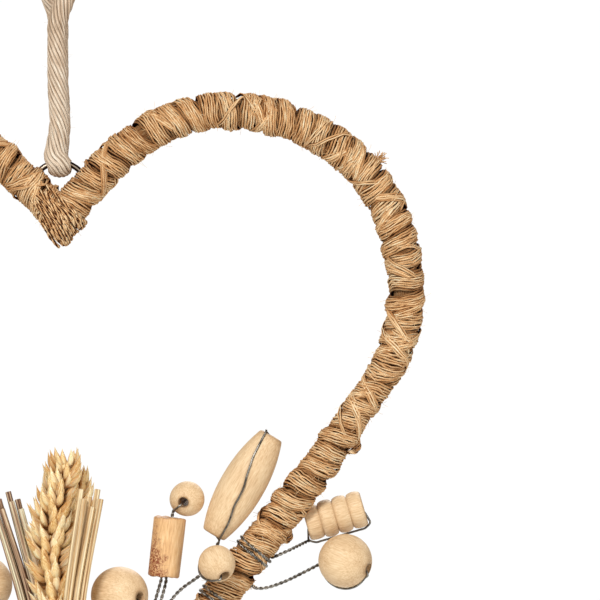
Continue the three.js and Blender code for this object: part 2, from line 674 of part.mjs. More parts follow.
function bindingGeometry() {
  const inner = 2 * TOUCH_GAP;
  const outer = inner + BINDING_THICKNESS;
  const middle = (BINDING_LOW + BINDING_HIGH) / 2;
  const rows = [
    [BINDING_LOW, inner], [BINDING_LOW, outer - 0.4], [middle, outer],
    [BINDING_HIGH, outer - 0.4], [BINDING_HIGH, inner],
  ];
  return closedGrid(
    rows.map(([height, margin]) => tightTurn(boundCircles(height), margin, tip.z + height)).reverse(),
  );
}

// Putting it together

addMesh("hanging_cord", tube(cordRoute(), cordRadius, CORD_SIDES, CORD_STEPS), "cotton");
addMesh("cord_knot", geometryOf(knotSolid()), "cotton");
addMesh("hanging_ring", ringGeometry(0), "ring");
addSide(1, "right", RIGHT_SHIFT);
addSide(-1, "left", LEFT_SHIFT);

addFan(LEFT_FAN);
addFan(RIGHT_FAN);
const frontEar = earSolid(FRONT_EAR, 0);
const backEar = earSolid(BACK_EAR, 0).subtract(earSolid(FRONT_EAR, TOUCH_GAP));
addMesh("wheat_ear_front", geometryOf(frontEar), "wheat");
addMesh("wheat_ear_back", geometryOf(backEar), "wheat");
addMesh("stem_binding", bindingGeometry(), "jute");
const cuts = [solidOf(ringGeometry(TOUCH_GAP)), ...sockets];
const winding = cuts.reduce((left, cut) => left.subtract(cut), windingSolid());
addMesh("heart_winding", geometryOf(winding), "jute");

export default part;
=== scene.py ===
# %% [markdown]
# A hanging heart. The frame is wound with jute yarn and hangs on a doubled cotton cord that runs
# through a dark steel ring. A bouquet of wheat ears and straws is tied to the tip, and turned
# wooden beads stand out of the lower half on twisted wires. Each step below makes one kind of
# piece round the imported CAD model, in metres, in the model's own frame: the front faces -Y.

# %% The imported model
import math

import bmesh
import bpy
import numpy as np
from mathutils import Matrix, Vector


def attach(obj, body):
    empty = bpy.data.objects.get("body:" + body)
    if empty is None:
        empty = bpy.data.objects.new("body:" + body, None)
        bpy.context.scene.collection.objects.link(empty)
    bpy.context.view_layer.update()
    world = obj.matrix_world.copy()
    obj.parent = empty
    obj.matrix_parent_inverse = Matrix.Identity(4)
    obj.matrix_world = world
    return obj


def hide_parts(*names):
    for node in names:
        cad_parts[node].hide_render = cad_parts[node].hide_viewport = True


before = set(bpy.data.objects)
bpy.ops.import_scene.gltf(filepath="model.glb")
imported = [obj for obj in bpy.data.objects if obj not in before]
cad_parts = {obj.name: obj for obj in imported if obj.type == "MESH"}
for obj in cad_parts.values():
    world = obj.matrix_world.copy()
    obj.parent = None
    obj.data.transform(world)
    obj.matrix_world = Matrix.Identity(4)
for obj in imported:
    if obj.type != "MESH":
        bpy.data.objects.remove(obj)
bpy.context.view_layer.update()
MM = 0.001

# %% [markdown]
# The picture was taken straight from the front, from far enough away that nothing looks
# foreshortened, and its edges cut off the left lobe and the tip. So the camera looks along +Y
# from 1.5 m, and its lens is worked out from the width of the heart that the frame shows.

# %% Camera
FRAME_WIDTH = 192 * MM
VIEW_DISTANCE = 1.5
VIEW_CENTRE = Vector((76.9 * MM, 0, -122 * MM))


def new_object(name, data):
    """An object of its own, linked to the scene."""
    made = bpy.data.objects.new(name, data)
    bpy.context.collection.objects.link(made)
    return made


camera_data = bpy.data.cameras.new("front_camera")
camera_data.lens = camera_data.sensor_width * VIEW_DISTANCE / FRAME_WIDTH
camera = new_object("front_camera", camera_data)
camera.location = VIEW_CENTRE - Vector((0, VIEW_DISTANCE, 0))
camera.rotation_euler = (math.pi / 2, 0, 0)
bpy.context.scene.camera = camera
print("lens", round(camera_data.lens), "mm")

# %% [markdown]
# Plain soft light: a white surrounding and three large lamps, the strongest above the camera on
# the left. The surrounding is brighter for the camera than for the object, so that the ground of
# the picture is pure white while yarn and wood keep some shade at their edges. The floor is a small
# pale disc far below, out of the picture, for views from above.

# %% Light and floor
AIR_ON_OBJECT = 0.4
AIR_IN_VIEW = 1.02
FLOOR_Z = -420 * MM
FLOOR_RADIUS = 0.6

world = bpy.data.worlds.new("studio")
world.use_nodes = True
air = world.node_tree
seen = air.nodes.new("ShaderNodeLightPath")
strength = air.nodes.new("ShaderNodeMapRange")
strength.inputs["To Min"].default_value = AIR_ON_OBJECT
strength.inputs["To Max"].default_value = AIR_IN_VIEW
air.nodes["Background"].inputs["Color"].default_value = (1, 1, 1, 1)
air.links.new(seen.outputs["Is Camera Ray"], strength.inputs["Value"])
air.links.new(strength.outputs["Result"], air.nodes["Background"].inputs["Strength"])
bpy.context.scene.world = world
bpy.context.scene.view_settings.view_transform = "Standard"


def area_lamp(name, place, power, size):
    data = bpy.data.lights.new(name, "AREA")
    data.energy = power
    data.size = size
    lamp = new_object(name, data)
    lamp.location = place
    lamp.rotation_euler = (VIEW_CENTRE - Vector(place)).to_track_quat("-Z", "Y").to_euler()


area_lamp("key_lamp", (-0.45, -1.3, 0.75), 21, 0.4)
area_lamp("fill_lamp", (0.9, -1.1, 0.0), 6, 0.6)
area_lamp("back_lamp", (0.3, 1.3, 0.7), 13, 0.8)

bpy.ops.mesh.primitive_circle_add(vertices=96, radius=FLOOR_RADIUS, fill_type="NGON",
                                  location=(0, 0, FLOOR_Z))
floor = bpy.context.object
floor.name = "pale_floor"

# %% [markdown]
# Node trees are long when every node is placed by hand, so one small class adds a node, sets its
# settings and joins its inputs in a single call. It serves shaders and geometry alike, and has
# short names for sums, products and the few other nodes that come up again and again.

# %% A helper for node trees


class Graph:
    def __init__(self, tree):
        self.tree = tree

    def add(self, kind, inputs=None, **settings):
        node = self.tree.nodes.new(kind)
        for name, value in settings.items():
            setattr(node, name, value)
        for key, value in (inputs or {}).items():
            self.put(node.inputs[key], value)
        return node

    def put(self, socket, value):
        if isinstance(value, bpy.types.NodeSocket):
            self.tree.links.new(value, socket)
        else:
            socket.default_value = value

    def math(self, operation, *values, clamp=False):
        inputs = dict(enumerate(values))
        return self.add("ShaderNodeMath", inputs, operation=operation, use_clamp=clamp).outputs[0]

    def chain(self, operation, values):
        """The operation on the first two values, then on its result and the next, and so on."""
        total = values[0]
        for value in values[1:]:
            total = self.math(operation, total, value)
        return total

    def plus(self, *values):
        return self.chain("ADD", values)

    def minus(self, *values):
        return self.chain("SUBTRACT", values)

    def times(self, *values):
        return self.chain("MULTIPLY", values)

    def scaled(self, value, factor, offset):
        """The value times the factor, plus the offset."""
        return self.math("MULTIPLY_ADD", value, factor, offset)

    def span(self, value, low, high):
        """0 at the low value, 1 at the high one, and even between."""
        inputs = {"Value": value, "From Min": low, "From Max": high}
        return self.add("ShaderNodeMapRange", inputs).outputs[0]

    def combine(self, x=0.0, y=0.0, z=0.0):
        return self.add("ShaderNodeCombineXYZ", {0: x, 1: y, 2: z}).outputs[0]

    def parts(self, vector):
        return self.add("ShaderNodeSeparateXYZ", {0: vector}).outputs

    def vector(self, operation, first, second):
        key = "Scale" if operation == "SCALE" else 1
        return self.add("ShaderNodeVectorMath", {0: first, key: second}, operation=operation).outputs[0]

    def noise(self, scale, detail=2.0, **inputs):
        values = {"Scale": scale, "Detail": detail, "Roughness": 0.6}
        values.update({key.replace("_", " "): value for key, value in inputs.items()})
        dimensions = "1D" if "W" in inputs and "Vector" not in inputs else "3D"
        return self.add("ShaderNodeTexNoise", values, noise_dimensions=dimensions).outputs[0]

    def ramp(self, value, *stops):
        node = self.add("ShaderNodeValToRGB", {"Fac": value})
        items = node.color_ramp.elements
        for index, (place, colour) in enumerate(stops):
            item = items[index] if index < 2 else items.new(place)
            item.position = place
            item.color = (*colour, 1)
        return node.outputs["Color"]

    def mix(self, share, first, second, blend="MIX"):
        node = self.add("ShaderNodeMix", data_type="RGBA", blend_type=blend)
        for socket, value in zip((0, 6, 7), (share, first, second)):
            self.put(node.inputs[socket], value)
        return node.outputs[2]


def linear(red, green, blue):
    """A colour given as it looks on a screen, 0 to 255, as the values a shader mixes."""
    return tuple(((c / 255 + 0.055) / 1.055) ** 2.4 if c > 10 else c / 3294 for c in (red, green, blue))


def smoothstep(value, low, high):
    share = np.clip((value - low) / (high - low), 0, 1)
    return share * share * (3 - 2 * share)


# %% [markdown]
# Yarn, cord, straw, husks and wood all carry fine streaks that follow the piece. One shader group
# draws them from a coordinate whose first part runs along the strand, so it is stretched that
# way. A second group gives the slow mottling of natural things. Both put out plain masks and
# heights, and each material mixes its own colours with them.

# %% Shared shader groups


def shader_group(name, inputs, outputs):
    tree = bpy.data.node_groups.new(name, "ShaderNodeTree")
    for title, kind, value in inputs:
        socket = tree.interface.new_socket(title, in_out="INPUT", socket_type=kind)
        if value is not None:
            socket.default_value = value
    for title in outputs:
        tree.interface.new_socket(title, in_out="OUTPUT", socket_type="NodeSocketFloat")
    graph = Graph(tree)
    return graph, graph.add("NodeGroupInput"), graph.add("NodeGroupOutput")


def streak_group():
    graph, given, out = shader_group(
        "fibre streaks",
        [("Vector", "NodeSocketVector", None), ("Along", "NodeSocketFloat", 60.0),
         ("Across", "NodeSocketFloat", 2500.0), ("Contrast", "NodeSocketFloat", 1.0)],
        ["Streaks", "Height"],
    )
    along, across = given.outputs["Along"], given.outputs["Across"]
    x, y, z = graph.parts(given.outputs["Vector"])
    stretched = graph.combine(graph.times(x, along), graph.times(y, across), graph.times(z, across))
    fine = graph.noise(1.0, 4.0, Vector=stretched)
    centred = graph.minus(fine, 0.5)
    spread = graph.math("MULTIPLY_ADD", centred, given.outputs["Contrast"], 0.5, clamp=True)
    graph.put(out.inputs["Streaks"], spread)
    graph.put(out.inputs["Height"], fine)
    return graph.tree


def mottle_group():
    graph, given, out = shader_group(
        "natural mottling",
        [("Vector", "NodeSocketVector", None), ("Patch", "NodeSocketFloat", 120.0),
         ("Speck", "NodeSocketFloat", 1600.0)],
        ["Patches", "Specks"],
    )
    place = given.outputs["Vector"]
    patches = graph.noise(given.outputs["Patch"], 3.0, Vector=place)
    specks = graph.noise(given.outputs["Speck"], 2.0, Vector=place)
    graph.put(out.inputs["Patches"], patches)
    graph.put(out.inputs["Specks"], graph.span(specks, 0.62, 0.74))
    return graph.tree


streaks_tree = streak_group()
mottle_tree = mottle_group()
print("shader groups:", [group.name for group in bpy.data.node_groups])

# %% Materials from those groups


class Finish:
    """A material with its graph, the piece's own coordinates and the two shared groups in it."""

    def __init__(self, name, attribute=None):
        self.material = bpy.data.materials.new(name)
        self.material.use_nodes = True
        self.graph = Graph(self.material.node_tree)
        self.shader = self.material.node_tree.nodes["Principled BSDF"]
        self.place = self.graph.add("ShaderNodeTexCoord").outputs["Object"]
        self.along = self.attribute(attribute, "Vector") if attribute else self.place

    def attribute(self, name, output="Fac"):
        return self.graph.add("ShaderNodeAttribute", attribute_name=name).outputs[output]

    def streaks(self, along, across, contrast):
        node = self.graph.add("ShaderNodeGroup", node_tree=streaks_tree)
        self.graph.put(node.inputs["Vector"], self.along)
        for key, value in (("Along", along), ("Across", across), ("Contrast", contrast)):
            node.inputs[key].default_value = value
        return node.outputs["Streaks"], node.outputs["Height"]

    def mottle(self, patch, speck):
        node = self.graph.add("ShaderNodeGroup", node_tree=mottle_tree)
        self.graph.put(node.inputs["Vector"], self.place)
        node.inputs["Patch"].default_value = patch
        node.inputs["Speck"].default_value = speck
        return node.outputs["Patches"], node.outputs["Specks"]

    def bump(self, height, depth, under=None):
        values = {"Height": height, "Distance": depth, "Strength": 1.0}
        node = self.graph.add("ShaderNodeBump", values)
        if under:
            self.graph.put(node.inputs["Normal"], under)
        return node.outputs[0]

    def finish(self, colour, roughness, normal=None, **more):
        self.graph.put(self.shader.inputs["Base Color"], colour)
        self.graph.put(self.shader.inputs["Roughness"], roughness)
        if normal:
            self.graph.put(self.shader.inputs["Normal"], normal)
        for key, value in more.items():
            self.shader.inputs[key.replace("_", " ")].default_value = value
        return self.material


def yarn_finish(name, deep, main, light, dark, half_shade, crease_top, along, across, bump_depth):
    """A yarn: streaked along its lay, a little different from turn to turn. Its creases get painted shade
    of a warm tone, like that of light that has bounced between fibres."""
    finish = Finish(name, "lay")
    graph = finish.graph
    streaks, height = finish.streaks(along, across, 2.6)
    patches, _ = finish.mottle(90, 900)
    tone = graph.scaled(streaks, 0.55, graph.times(patches, 0.2))
    tone = graph.scaled(finish.attribute("band"), 0.25, tone)
    colour = graph.ramp(tone, (0.22, deep), (0.5, main), (0.78, light))
    # Painted shade: the crease value multiplies in the dark colour deep in the creases and the half colour
    # halfway up; the tops of the strands keep their colour.
    crease = graph.span(finish.attribute("crease"), 0.15, crease_top)
    shade = graph.ramp(crease, (0.0, dark), (0.5, half_shade), (1.0, (1.0, 1.0, 1.0)))
    shaded = graph.mix(1.0, colour, shade, "MULTIPLY")
    return finish.finish(shaded, 0.9, finish.bump(height, bump_depth), Specular_IOR_Level=0.08)


jute = yarn_finish("jute_yarn", linear(146, 86, 34), linear(244, 199, 144), linear(255, 252, 220),
                   linear(60, 18, 1), (0.6, 0.45, 0.33), 0.9, 260, 4600, 0.0004)
cotton = yarn_finish("cotton_cord", linear(156, 126, 96), linear(226, 200, 172), linear(255, 244, 224),
                     linear(72, 42, 20), (0.54, 0.52, 0.5), 1.04, 260, 4200, 0.0003)


def plain_wood(name, deep, main, light, bark=None):
    """Turned wood. Its grain attribute runs along the piece, and bark covers one side if given."""
    finish = Finish(name, "grain")
    graph = finish.graph
    streaks, height = finish.streaks(28, 330, 1.0)
    fine, fine_height = finish.streaks(260, 2600, 1.5)
    patches, specks = finish.mottle(60, 2200)
    tone = graph.scaled(streaks, 0.36, graph.times(fine, 0.42))
    tone = graph.scaled(patches, 0.22, tone)
    colour = graph.ramp(tone, (0.2, deep), (0.5, main), (0.8, light))
    colour = graph.mix(graph.times(specks, 0.22), colour, (*deep, 1))
    # Darker towards the bead's ends, and painted shade in the grooves of ribbed beads and inside the bore:
    # the edge value, mixed to a darker deep tone.
    dark_ends_and_shade = graph.times(finish.attribute("edge"), 0.55)
    colour = graph.mix(dark_ends_and_shade, colour, (*[part * 0.8 for part in deep], 1))
    if bark:
        along, across, _ = graph.parts(finish.along)
        wander = graph.noise(420.0, 5.0, Vector=finish.along)
        side = graph.scaled(wander, 0.009, graph.scaled(along, 0.28, across))
        strip = graph.span(side, 0.0018, -0.0004)
        flecks = graph.span(graph.noise(1900.0, 3.0, Vector=finish.along), 0.36, 0.6)
        colour = graph.mix(graph.times(strip, flecks), colour, (*bark, 1))
    worn = graph.scaled(patches, 0.2, 0.45)
    normal = finish.bump(fine_height, 0.00006, under=finish.bump(height, 0.00008))
    return finish.finish(colour, worn, normal, Specular_IOR_Level=0.35)


bead_wood = plain_wood("bead_wood", linear(172, 126, 78), linear(218, 186, 144), linear(244, 220, 182))
twig_wood = plain_wood("twig_wood", linear(164, 104, 54), linear(222, 178, 126), linear(252, 226, 180),
                       bark=linear(128, 62, 36))


def dried_plant(name, deep, main, light, along, across, contrast):
    """Straw and husks: ribbed along their length, glossier than yarn, with warm painted shade in the
    furrows and hollows.
    """
    finish = Finish(name, "grain")
    graph = finish.graph
    streaks, height = finish.streaks(along, across, contrast)
    patches, _ = finish.mottle(130, 900)
    tone = graph.scaled(streaks, 0.6, graph.times(patches, 0.15))
    tone = graph.scaled(finish.attribute("tint"), 0.3, tone)
    colour = graph.ramp(tone, (0.22, deep), (0.5, main), (0.8, light))
    # Painted shade: the hollow value mixes in this darker warm tone, in the furrows between ribs, inside a
    # straw's cut end, and at a husk's foot and sides.
    furrow_shade = (deep[0] * 0.66, deep[1] * 0.44, deep[2] * 0.25, 1)
    colour = graph.mix(finish.attribute("hollow"), colour, furrow_shade)
    rough = graph.scaled(patches, 0.25, 0.45)
    return finish.finish(colour, rough, finish.bump(height, 0.00014), Specular_IOR_Level=0.2)


husk = dried_plant("wheat_husk", linear(196, 142, 70), linear(240, 208, 148), linear(255, 250, 212),
                   90, 1900, 2.4)
pale_straw = dried_plant("pale_straw", linear(134, 88, 38), linear(222, 186, 134), linear(255, 238, 196),
                         26, 1500, 3.2)
grey_straw = dried_plant("grey_straw", linear(84, 50, 36), linear(202, 168, 134), linear(255, 250, 214),
                         26, 1500, 3.6)


def metal_finish(name, dark, light, roughness, scratch, crest=None):
    """A drawn metal surface with faint scratches. Given a crest in metres, a highlight is painted where the
    surface lies that far or further to the front or back.
    """
    finish = Finish(name)
    graph = finish.graph
    patches, _ = finish.mottle(400, 2000)
    colour = graph.ramp(patches, (0.3, dark), (0.7, light))
    if crest:
        # Painted highlight: a pale line where the surface lies at the crest depth or beyond, at the front
        # and back of the wire.
        depth = graph.math("ABSOLUTE", graph.parts(finish.place)[1])
        painted_highlight = graph.span(depth, crest * 0.98, crest * 1.01)
        colour = graph.mix(painted_highlight, colour, (*linear(228, 208, 184), 1))
    rough = graph.scaled(patches, scratch, roughness)
    return finish.finish(colour, rough, finish.bump(patches, 0.00001), Metallic=1.0)


# The ring's last value is the depth in metres at which its highlight is painted.
ring_metal = metal_finish("dark_ring", linear(30, 14, 8), linear(60, 42, 32), 0.2, 0.12, 0.93 * MM)
wire_steel = metal_finish("wire_steel", linear(66, 60, 54), linear(160, 154, 144), 0.25, 0.15)

floor_finish = Finish("pale_floor")
floor_patches, _ = floor_finish.mottle(4, 60)
floor_colour = floor_finish.graph.ramp(floor_patches, (0.3, linear(240, 240, 238)),
                                       (0.7, linear(246, 246, 244)))
floor.data.materials.append(floor_finish.finish(floor_colour, 0.8))

# %% [markdown]
# Winding, cord, wire and string are all the same thing to make: strands laid round a line in a
# helix. So one Geometry Nodes tree does it, with the number of strands, the radius and the pitch
# of their lay as inputs. Given a band width, it lays the strands side by side as one soft yarn,
# which bulges in its middle and wanders and leans as it is wound. That is how jute goes on by hand.
# It keeps where each point lies along its strand, how deep in a crease it is, and a value that
# changes from turn to turn, as attributes for the shader.

# %% The tree that lays strands


def geometry_tree(name, inputs):
    tree = bpy.data.node_groups.new(name, "GeometryNodeTree")
    tree.interface.new_socket("Geometry", in_out="INPUT", socket_type="NodeSocketGeometry")
    tree.interface.new_socket("Geometry", in_out="OUTPUT", socket_type="NodeSocketGeometry")
    for title, kind, value in inputs:
        socket = tree.interface.new_socket(title, in_out="INPUT", socket_type=f"NodeSocket{kind}")
        if value is not None:
            socket.default_value = value
    graph = Graph(tree)
    return graph, graph.add("NodeGroupInput"), graph.add("NodeGroupOutput")


def keep(graph, geometry, name, value, kind="FLOAT", domain="POINT"):
    """Stores a named attribute on the geometry."""
    node = graph.add("GeometryNodeStoreNamedAttribute", data_type=kind, domain=domain)
    graph.put(node.inputs["Geometry"], geometry)
    graph.put(node.inputs["Name"], name)
    graph.put(node.inputs["Value"], value)
    return node.outputs[0]


def kept(graph, name, kind="FLOAT"):
    """Reads a named attribute."""
    return graph.add("GeometryNodeInputNamedAttribute", {"Name": name}, data_type=kind).outputs[0]


def swept(graph, curve, profile):
    """A profile run along a curve, with closed ends."""
    node = graph.add("GeometryNodeCurveToMesh", {"Curve": curve, "Profile Curve": profile})
    node.inputs["Fill Caps"].default_value = True
    return node.outputs[0]


def realized(graph, geometry):
    """Turns instances into geometry of their own."""
    return graph.add("GeometryNodeRealizeInstances", {"Geometry": geometry}).outputs[0]


def put_out(graph, geometry, material, out):
    """Ends a tree: the geometry takes its material and is put out."""
    values = {"Geometry": geometry, "Material": material}
    coated = graph.add("GeometryNodeSetMaterial", values).outputs[0]
    graph.put(out.inputs[0], coated)
    return graph.tree


def strands_tree():
    graph, given, out = geometry_tree("laid strands", [
        ("Strands", "Int", 2), ("Lay Radius", "Float", 0.0), ("Lay Pitch", "Float", 0.004),
        ("Strand Radius", "Float", 0.0003), ("Step", "Float", 0.001), ("Sides", "Int", 6),
        ("Band Width", "Float", 0.0), ("Roll Height", "Float", 0.0), ("Slant", "Float", 0.0),
        ("Wander", "Float", 0.0), ("Unevenness", "Float", 0.0), ("Dip", "Float", 0.0),
        ("Seed", "Float", 0.0), ("Material", "Material", None),
    ])
    plus, minus, times, scaled = graph.plus, graph.minus, graph.times, graph.scaled
    value = given.outputs
    curve = graph.add("GeometryNodeMeshToCurve", {0: value["Geometry"]}).outputs[0]
    resample = graph.add("GeometryNodeResampleCurve", {"Curve": curve, "Length": value["Step"]},
                         mode="LENGTH").outputs[0]
    copies = graph.add("GeometryNodeDuplicateElements", {"Geometry": resample}, domain="SPLINE")
    graph.put(copies.inputs["Amount"], value["Strands"])
    number = copies.outputs["Duplicate Index"]
    length = graph.add("GeometryNodeSplineParameter").outputs["Length"]
    whole = graph.add("GeometryNodeSplineLength").outputs["Length"]
    laps = graph.math("DIVIDE", length, value["Lay Pitch"])

    def drift(rate, salt):
        """A slow random change round zero. The rate is how much of it passes in a turn."""
        place = plus(times(laps, rate), plus(value["Seed"], salt))
        return minus(graph.noise(1.0, 2.0, W=place), 0.5)

    # The angle round the line. Strands of a band share it, others are spread round the circle.
    banded = graph.math("GREATER_THAN", value["Band Width"], 0.0)
    share = graph.math("DIVIDE", plus(number, 0.5), value["Strands"])
    spread = times(share, minus(1.0, banded))
    angle = times(plus(spread, laps, kept(graph, "phase")), 2 * math.pi)

    # The band's round top, which swells and thins from turn to turn.
    centred = graph.math("ABSOLUTE", scaled(share, 2.0, -1.0))
    inside = minus(1.0, graph.math("POWER", centred, 2.4))
    crest = graph.math("SQRT", graph.math("MAXIMUM", inside, 0.0))
    crest = scaled(minus(crest, 1.0), banded, 1.0)
    bulk = times(drift(0.93, 0.0), 2.0)
    swell = times(minus(crest, 0.7), plus(bulk, 1.0))
    swell = times(scaled(bulk, 0.35, swell), value["Roll Height"])

    # A little unevenness of each strand, and the dip of a loose end into what it lies on.
    own = graph.combine(times(angle, value["Lay Radius"], 380.0), times(number, 5.1),
                        scaled(length, 260.0, value["Seed"]))
    rough = graph.add("ShaderNodeTexNoise", {"Vector": own, "Scale": 1.0, "Detail": 2.0})
    apart = graph.parts(graph.vector("SUBTRACT", rough.outputs["Color"], (0.5, 0.5, 0.5)))
    uneven = times(apart[0], value["Unevenness"])
    jitter = times(apart[1], value["Unevenness"])
    to_end = graph.math("MINIMUM", length, minus(whole, length))
    near_end = scaled(graph.math("DIVIDE", to_end, whole), -3.0, 1.0)
    near_end = graph.math("MAXIMUM", near_end, 0.0)
    dip = times(near_end, near_end, value["Dip"])
    radius = minus(plus(value["Lay Radius"], swell, uneven), dip, kept(graph, "slim"))

    # Where the point goes: round the line, and along it for the band, its lean and its wander.
    tangent = graph.add("GeometryNodeInputTangent").outputs[0]
    normal = graph.add("GeometryNodeInputNormal").outputs[0]
    side = graph.vector("CROSS_PRODUCT", tangent, normal)
    outward = graph.vector("ADD", graph.vector("SCALE", normal, graph.math("COSINE", angle)),
                           graph.vector("SCALE", side, graph.math("SINE", angle)))
    lean = times(drift(0.55, 17.0), 4.0, value["Slant"])
    turned = times(lean, graph.math("SINE", scaled(drift(0.2, 41.0), 12.0, angle)))
    beside = times(minus(share, 0.5), value["Band Width"])
    beside = times(beside, scaled(drift(0.8, 53.0), 1.2, 1.0))
    wander = times(drift(0.9, 31.0), 4.0, value["Wander"])
    shift = plus(plus(turned, beside), plus(wander, jitter))
    offset = graph.vector("ADD", graph.vector("SCALE", outward, radius),
                          graph.vector("SCALE", tangent, shift))

    # Attributes are stored before the points move, while length and angle still hold. The lay
    # runs on round every turn, and number keeps each strand's streaks apart from the next one's.
    run = scaled(times(laps, 2 * math.pi), value["Lay Radius"], length)
    lay = graph.combine(run, times(number, 0.013))
    band = plus(scaled(drift(0.97, 71.0), 0.9, 0.5), times(apart[2], 0.9))
    marked = keep(graph, copies.outputs[0], "lay", lay, "FLOAT_VECTOR")
    marked = keep(graph, marked, "outward", outward, "FLOAT_VECTOR")
    marked = keep(graph, marked, "crest", crest)
    marked = keep(graph, marked, "band", band)
    moved = graph.add("GeometryNodeSetPosition", {"Geometry": marked, "Offset": offset}).outputs[0]

    circle = graph.add("GeometryNodeCurvePrimitiveCircle", mode="RADIUS")
    graph.put(circle.inputs["Resolution"], value["Sides"])
    graph.put(circle.inputs["Radius"], value["Strand Radius"])
    place = graph.add("GeometryNodeInputPosition").outputs[0]
    rim = keep(graph, circle.outputs[0], "rim", place, "FLOAT_VECTOR")
    full = swept(graph, moved, rim)

    # On the finished strands: the place round each strand, and how far the surface faces outwards.
    around = graph.parts(kept(graph, "rim", "FLOAT_VECTOR"))
    across = graph.combine(0.0, around[0], around[1])
    lay = graph.vector("ADD", kept(graph, "lay", "FLOAT_VECTOR"), across)
    full = keep(graph, full, "lay", lay, "FLOAT_VECTOR")
    surface = graph.add("GeometryNodeInputNormal").outputs[0]
    facing = graph.add("ShaderNodeVectorMath", {0: surface, 1: kept(graph, "outward", "FLOAT_VECTOR")},
                       operation="DOT_PRODUCT").outputs["Value"]
    plain = graph.math("LESS_THAN", value["Lay Radius"], 0.000001)
    facing = graph.math("MAXIMUM", graph.math("MAXIMUM", facing, 0.0), plain)
    # The crease value is low between strands and between turns, and the yarn shader paints shade there from
    # it.
    full = keep(graph, full, "crease", times(kept(graph, "crest"), facing))
    smooth = graph.add("GeometryNodeSetShadeSmooth", {"Geometry": full}).outputs[0]
    return put_out(graph, realized(graph, smooth), value["Material"], out)


strands = strands_tree()


def line_object(name, lines, phases=(), slim=None):
    """A mesh of bare edges: the lines that a Geometry Nodes tree starts from, given in mm.
    Each line may have a phase, the share of a turn at which its strands start. slim gives the mm
    by which the lay is narrower at a point."""
    points = [Vector(point) * MM for line in lines for point in line]
    edges = []
    start = 0
    for line in lines:
        edges += [(start + i, start + i + 1) for i in range(len(line) - 1)]
        start += len(line)
    mesh = bpy.data.meshes.new(name)
    mesh.from_pydata(points, edges, [])
    if phases:
        phase = mesh.attributes.new("phase", "FLOAT", "POINT")
        phase.data.foreach_set("value", [p for p, line in zip(phases, lines) for _ in line])
    if slim:
        narrower = mesh.attributes.new("slim", "FLOAT", "POINT")
        narrower.data.foreach_set("value", [slim(point) * MM for line in lines for point in line])
    return new_object(name, mesh)


def grown_mesh(source, tree, values):
    """Runs a Geometry Nodes tree on the source and gives back its plain mesh. The source goes."""
    modifier = source.modifiers.new("grow", "NODES")
    modifier.node_group = tree
    for item in tree.interface.items_tree:
        if item.item_type == "SOCKET" and item.in_out == "INPUT" and item.name in values:
            modifier[item.identifier] = values[item.name]
    source.update_tag()
    bpy.context.view_layer.update()
    evaluated = source.evaluated_get(bpy.context.evaluated_depsgraph_get())
    mesh = bpy.data.meshes.new_from_object(evaluated)
    source.modifiers.remove(modifier)
    bpy.data.objects.remove(source)
    return mesh


def laid(lines, material, count, lay, pitch, strand, step, sides=6, phases=(), slim=None, **more):
    """Strands laid round lines. Sizes are in mm, and more holds the tree's other inputs in mm."""
    values = {"Strands": count, "Lay Radius": lay * MM, "Lay Pitch": pitch * MM, "Sides": sides,
              "Strand Radius": strand * MM, "Step": step * MM, "Material": material}
    for key, size in more.items():
        title = key.replace("_", " ").title()
        values[title] = float(size) if title == "Seed" else size * MM
    return grown_mesh(line_object("line", lines, phases, slim), strands, values)


def core_of(lines, material, radius, step, sides):
    """A plain round body along each line, for under its strands."""
    return laid(lines, material, 1, 0, 40, radius, step, sides)


def joined(name, meshes):
    """One mesh of several, in which every face keeps its material."""
    whole = bmesh.new()
    materials = []
    for mesh in meshes:
        start = len(whole.faces)
        whole.from_mesh(mesh)
        whole.faces.ensure_lookup_table()
        for material in mesh.materials:
            if material not in materials:
                materials.append(material)
        local = [materials.index(material) for material in mesh.materials]
        for face in whole.faces[start:]:
            face.material_index = local[min(face.material_index, len(local) - 1)]
    mesh = bpy.data.meshes.new(name)
    whole.to_mesh(mesh)
    whole.free()
    for material in materials:
        mesh.materials.append(material)
    return mesh


def skinned(name, shape, rings, material=None, closed=False):
    """Joins rings of points by four-sided faces and gives back the mesh. A closed skin runs from
    the last ring on to the first, and any other gets a face at each end."""
    for low, high in zip(rings, rings[1:] + rings[:1] if closed else rings[1:]):
        for j in range(len(low)):
            k = (j + 1) % len(low)
            shape.faces.new((low[j], low[k], high[k], high[j])).smooth = True
    if not closed:
        shape.faces.new(rings[0])
        shape.faces.new(rings[-1])
    bmesh.ops.recalc_face_normals(shape, faces=shape.faces)
    mesh = bpy.data.meshes.new(name)
    shape.to_mesh(mesh)
    shape.free()
    if material:
        mesh.materials.append(material)
    return mesh


def piece(name, meshes, slot, *nodes):
    """One object of the meshes, which rides on the body, keeps the meshes' own finishes and replaces CAD
    nodes. The slot is not used.
    """
    mesh = joined(name, meshes)
    made = new_object(name, mesh)
    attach(made, "root")
    if nodes:
        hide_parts(*nodes)
    mesh.calc_loop_triangles()
    print(name, len(mesh.loop_triangles), "triangles")
    return made


# %% [markdown]
# The frame's line is the one the CAD model uses: from the cleft over the lobe in three curves,
# then straight down to the tip. Its sizes come first, because beads, wires and bouquet are placed
# from it too.

# %% The line of the frame
TIP = Vector((0.8, 0, -282.4))
LOBE_TOP_Z = -61.4
HALF_WIDTH = 110
LOBE_X = 52.5
CLEFT_DEPTH = 34
WIDEST_DEPTH = 58
TIP_DEPTH = 221
STRAIGHT_LENGTH = 157
SIDE_LEAN = math.radians(37.5)
CLEFT_ANGLES = {1: math.radians(49.5), -1: math.radians(42)}
WRAP_RADIUS = 5.6


def bezier(points, count):
    """Points along a cubic curve, without its last one."""
    p = [np.array(point, float) for point in points]
    return [(1 - t) ** 3 * p[0] + 3 * t * (1 - t) ** 2 * p[1] + 3 * t * t * (1 - t) * p[2] + t ** 3 * p[3]
            for t in np.linspace(0, 1, count, endpoint=False)]


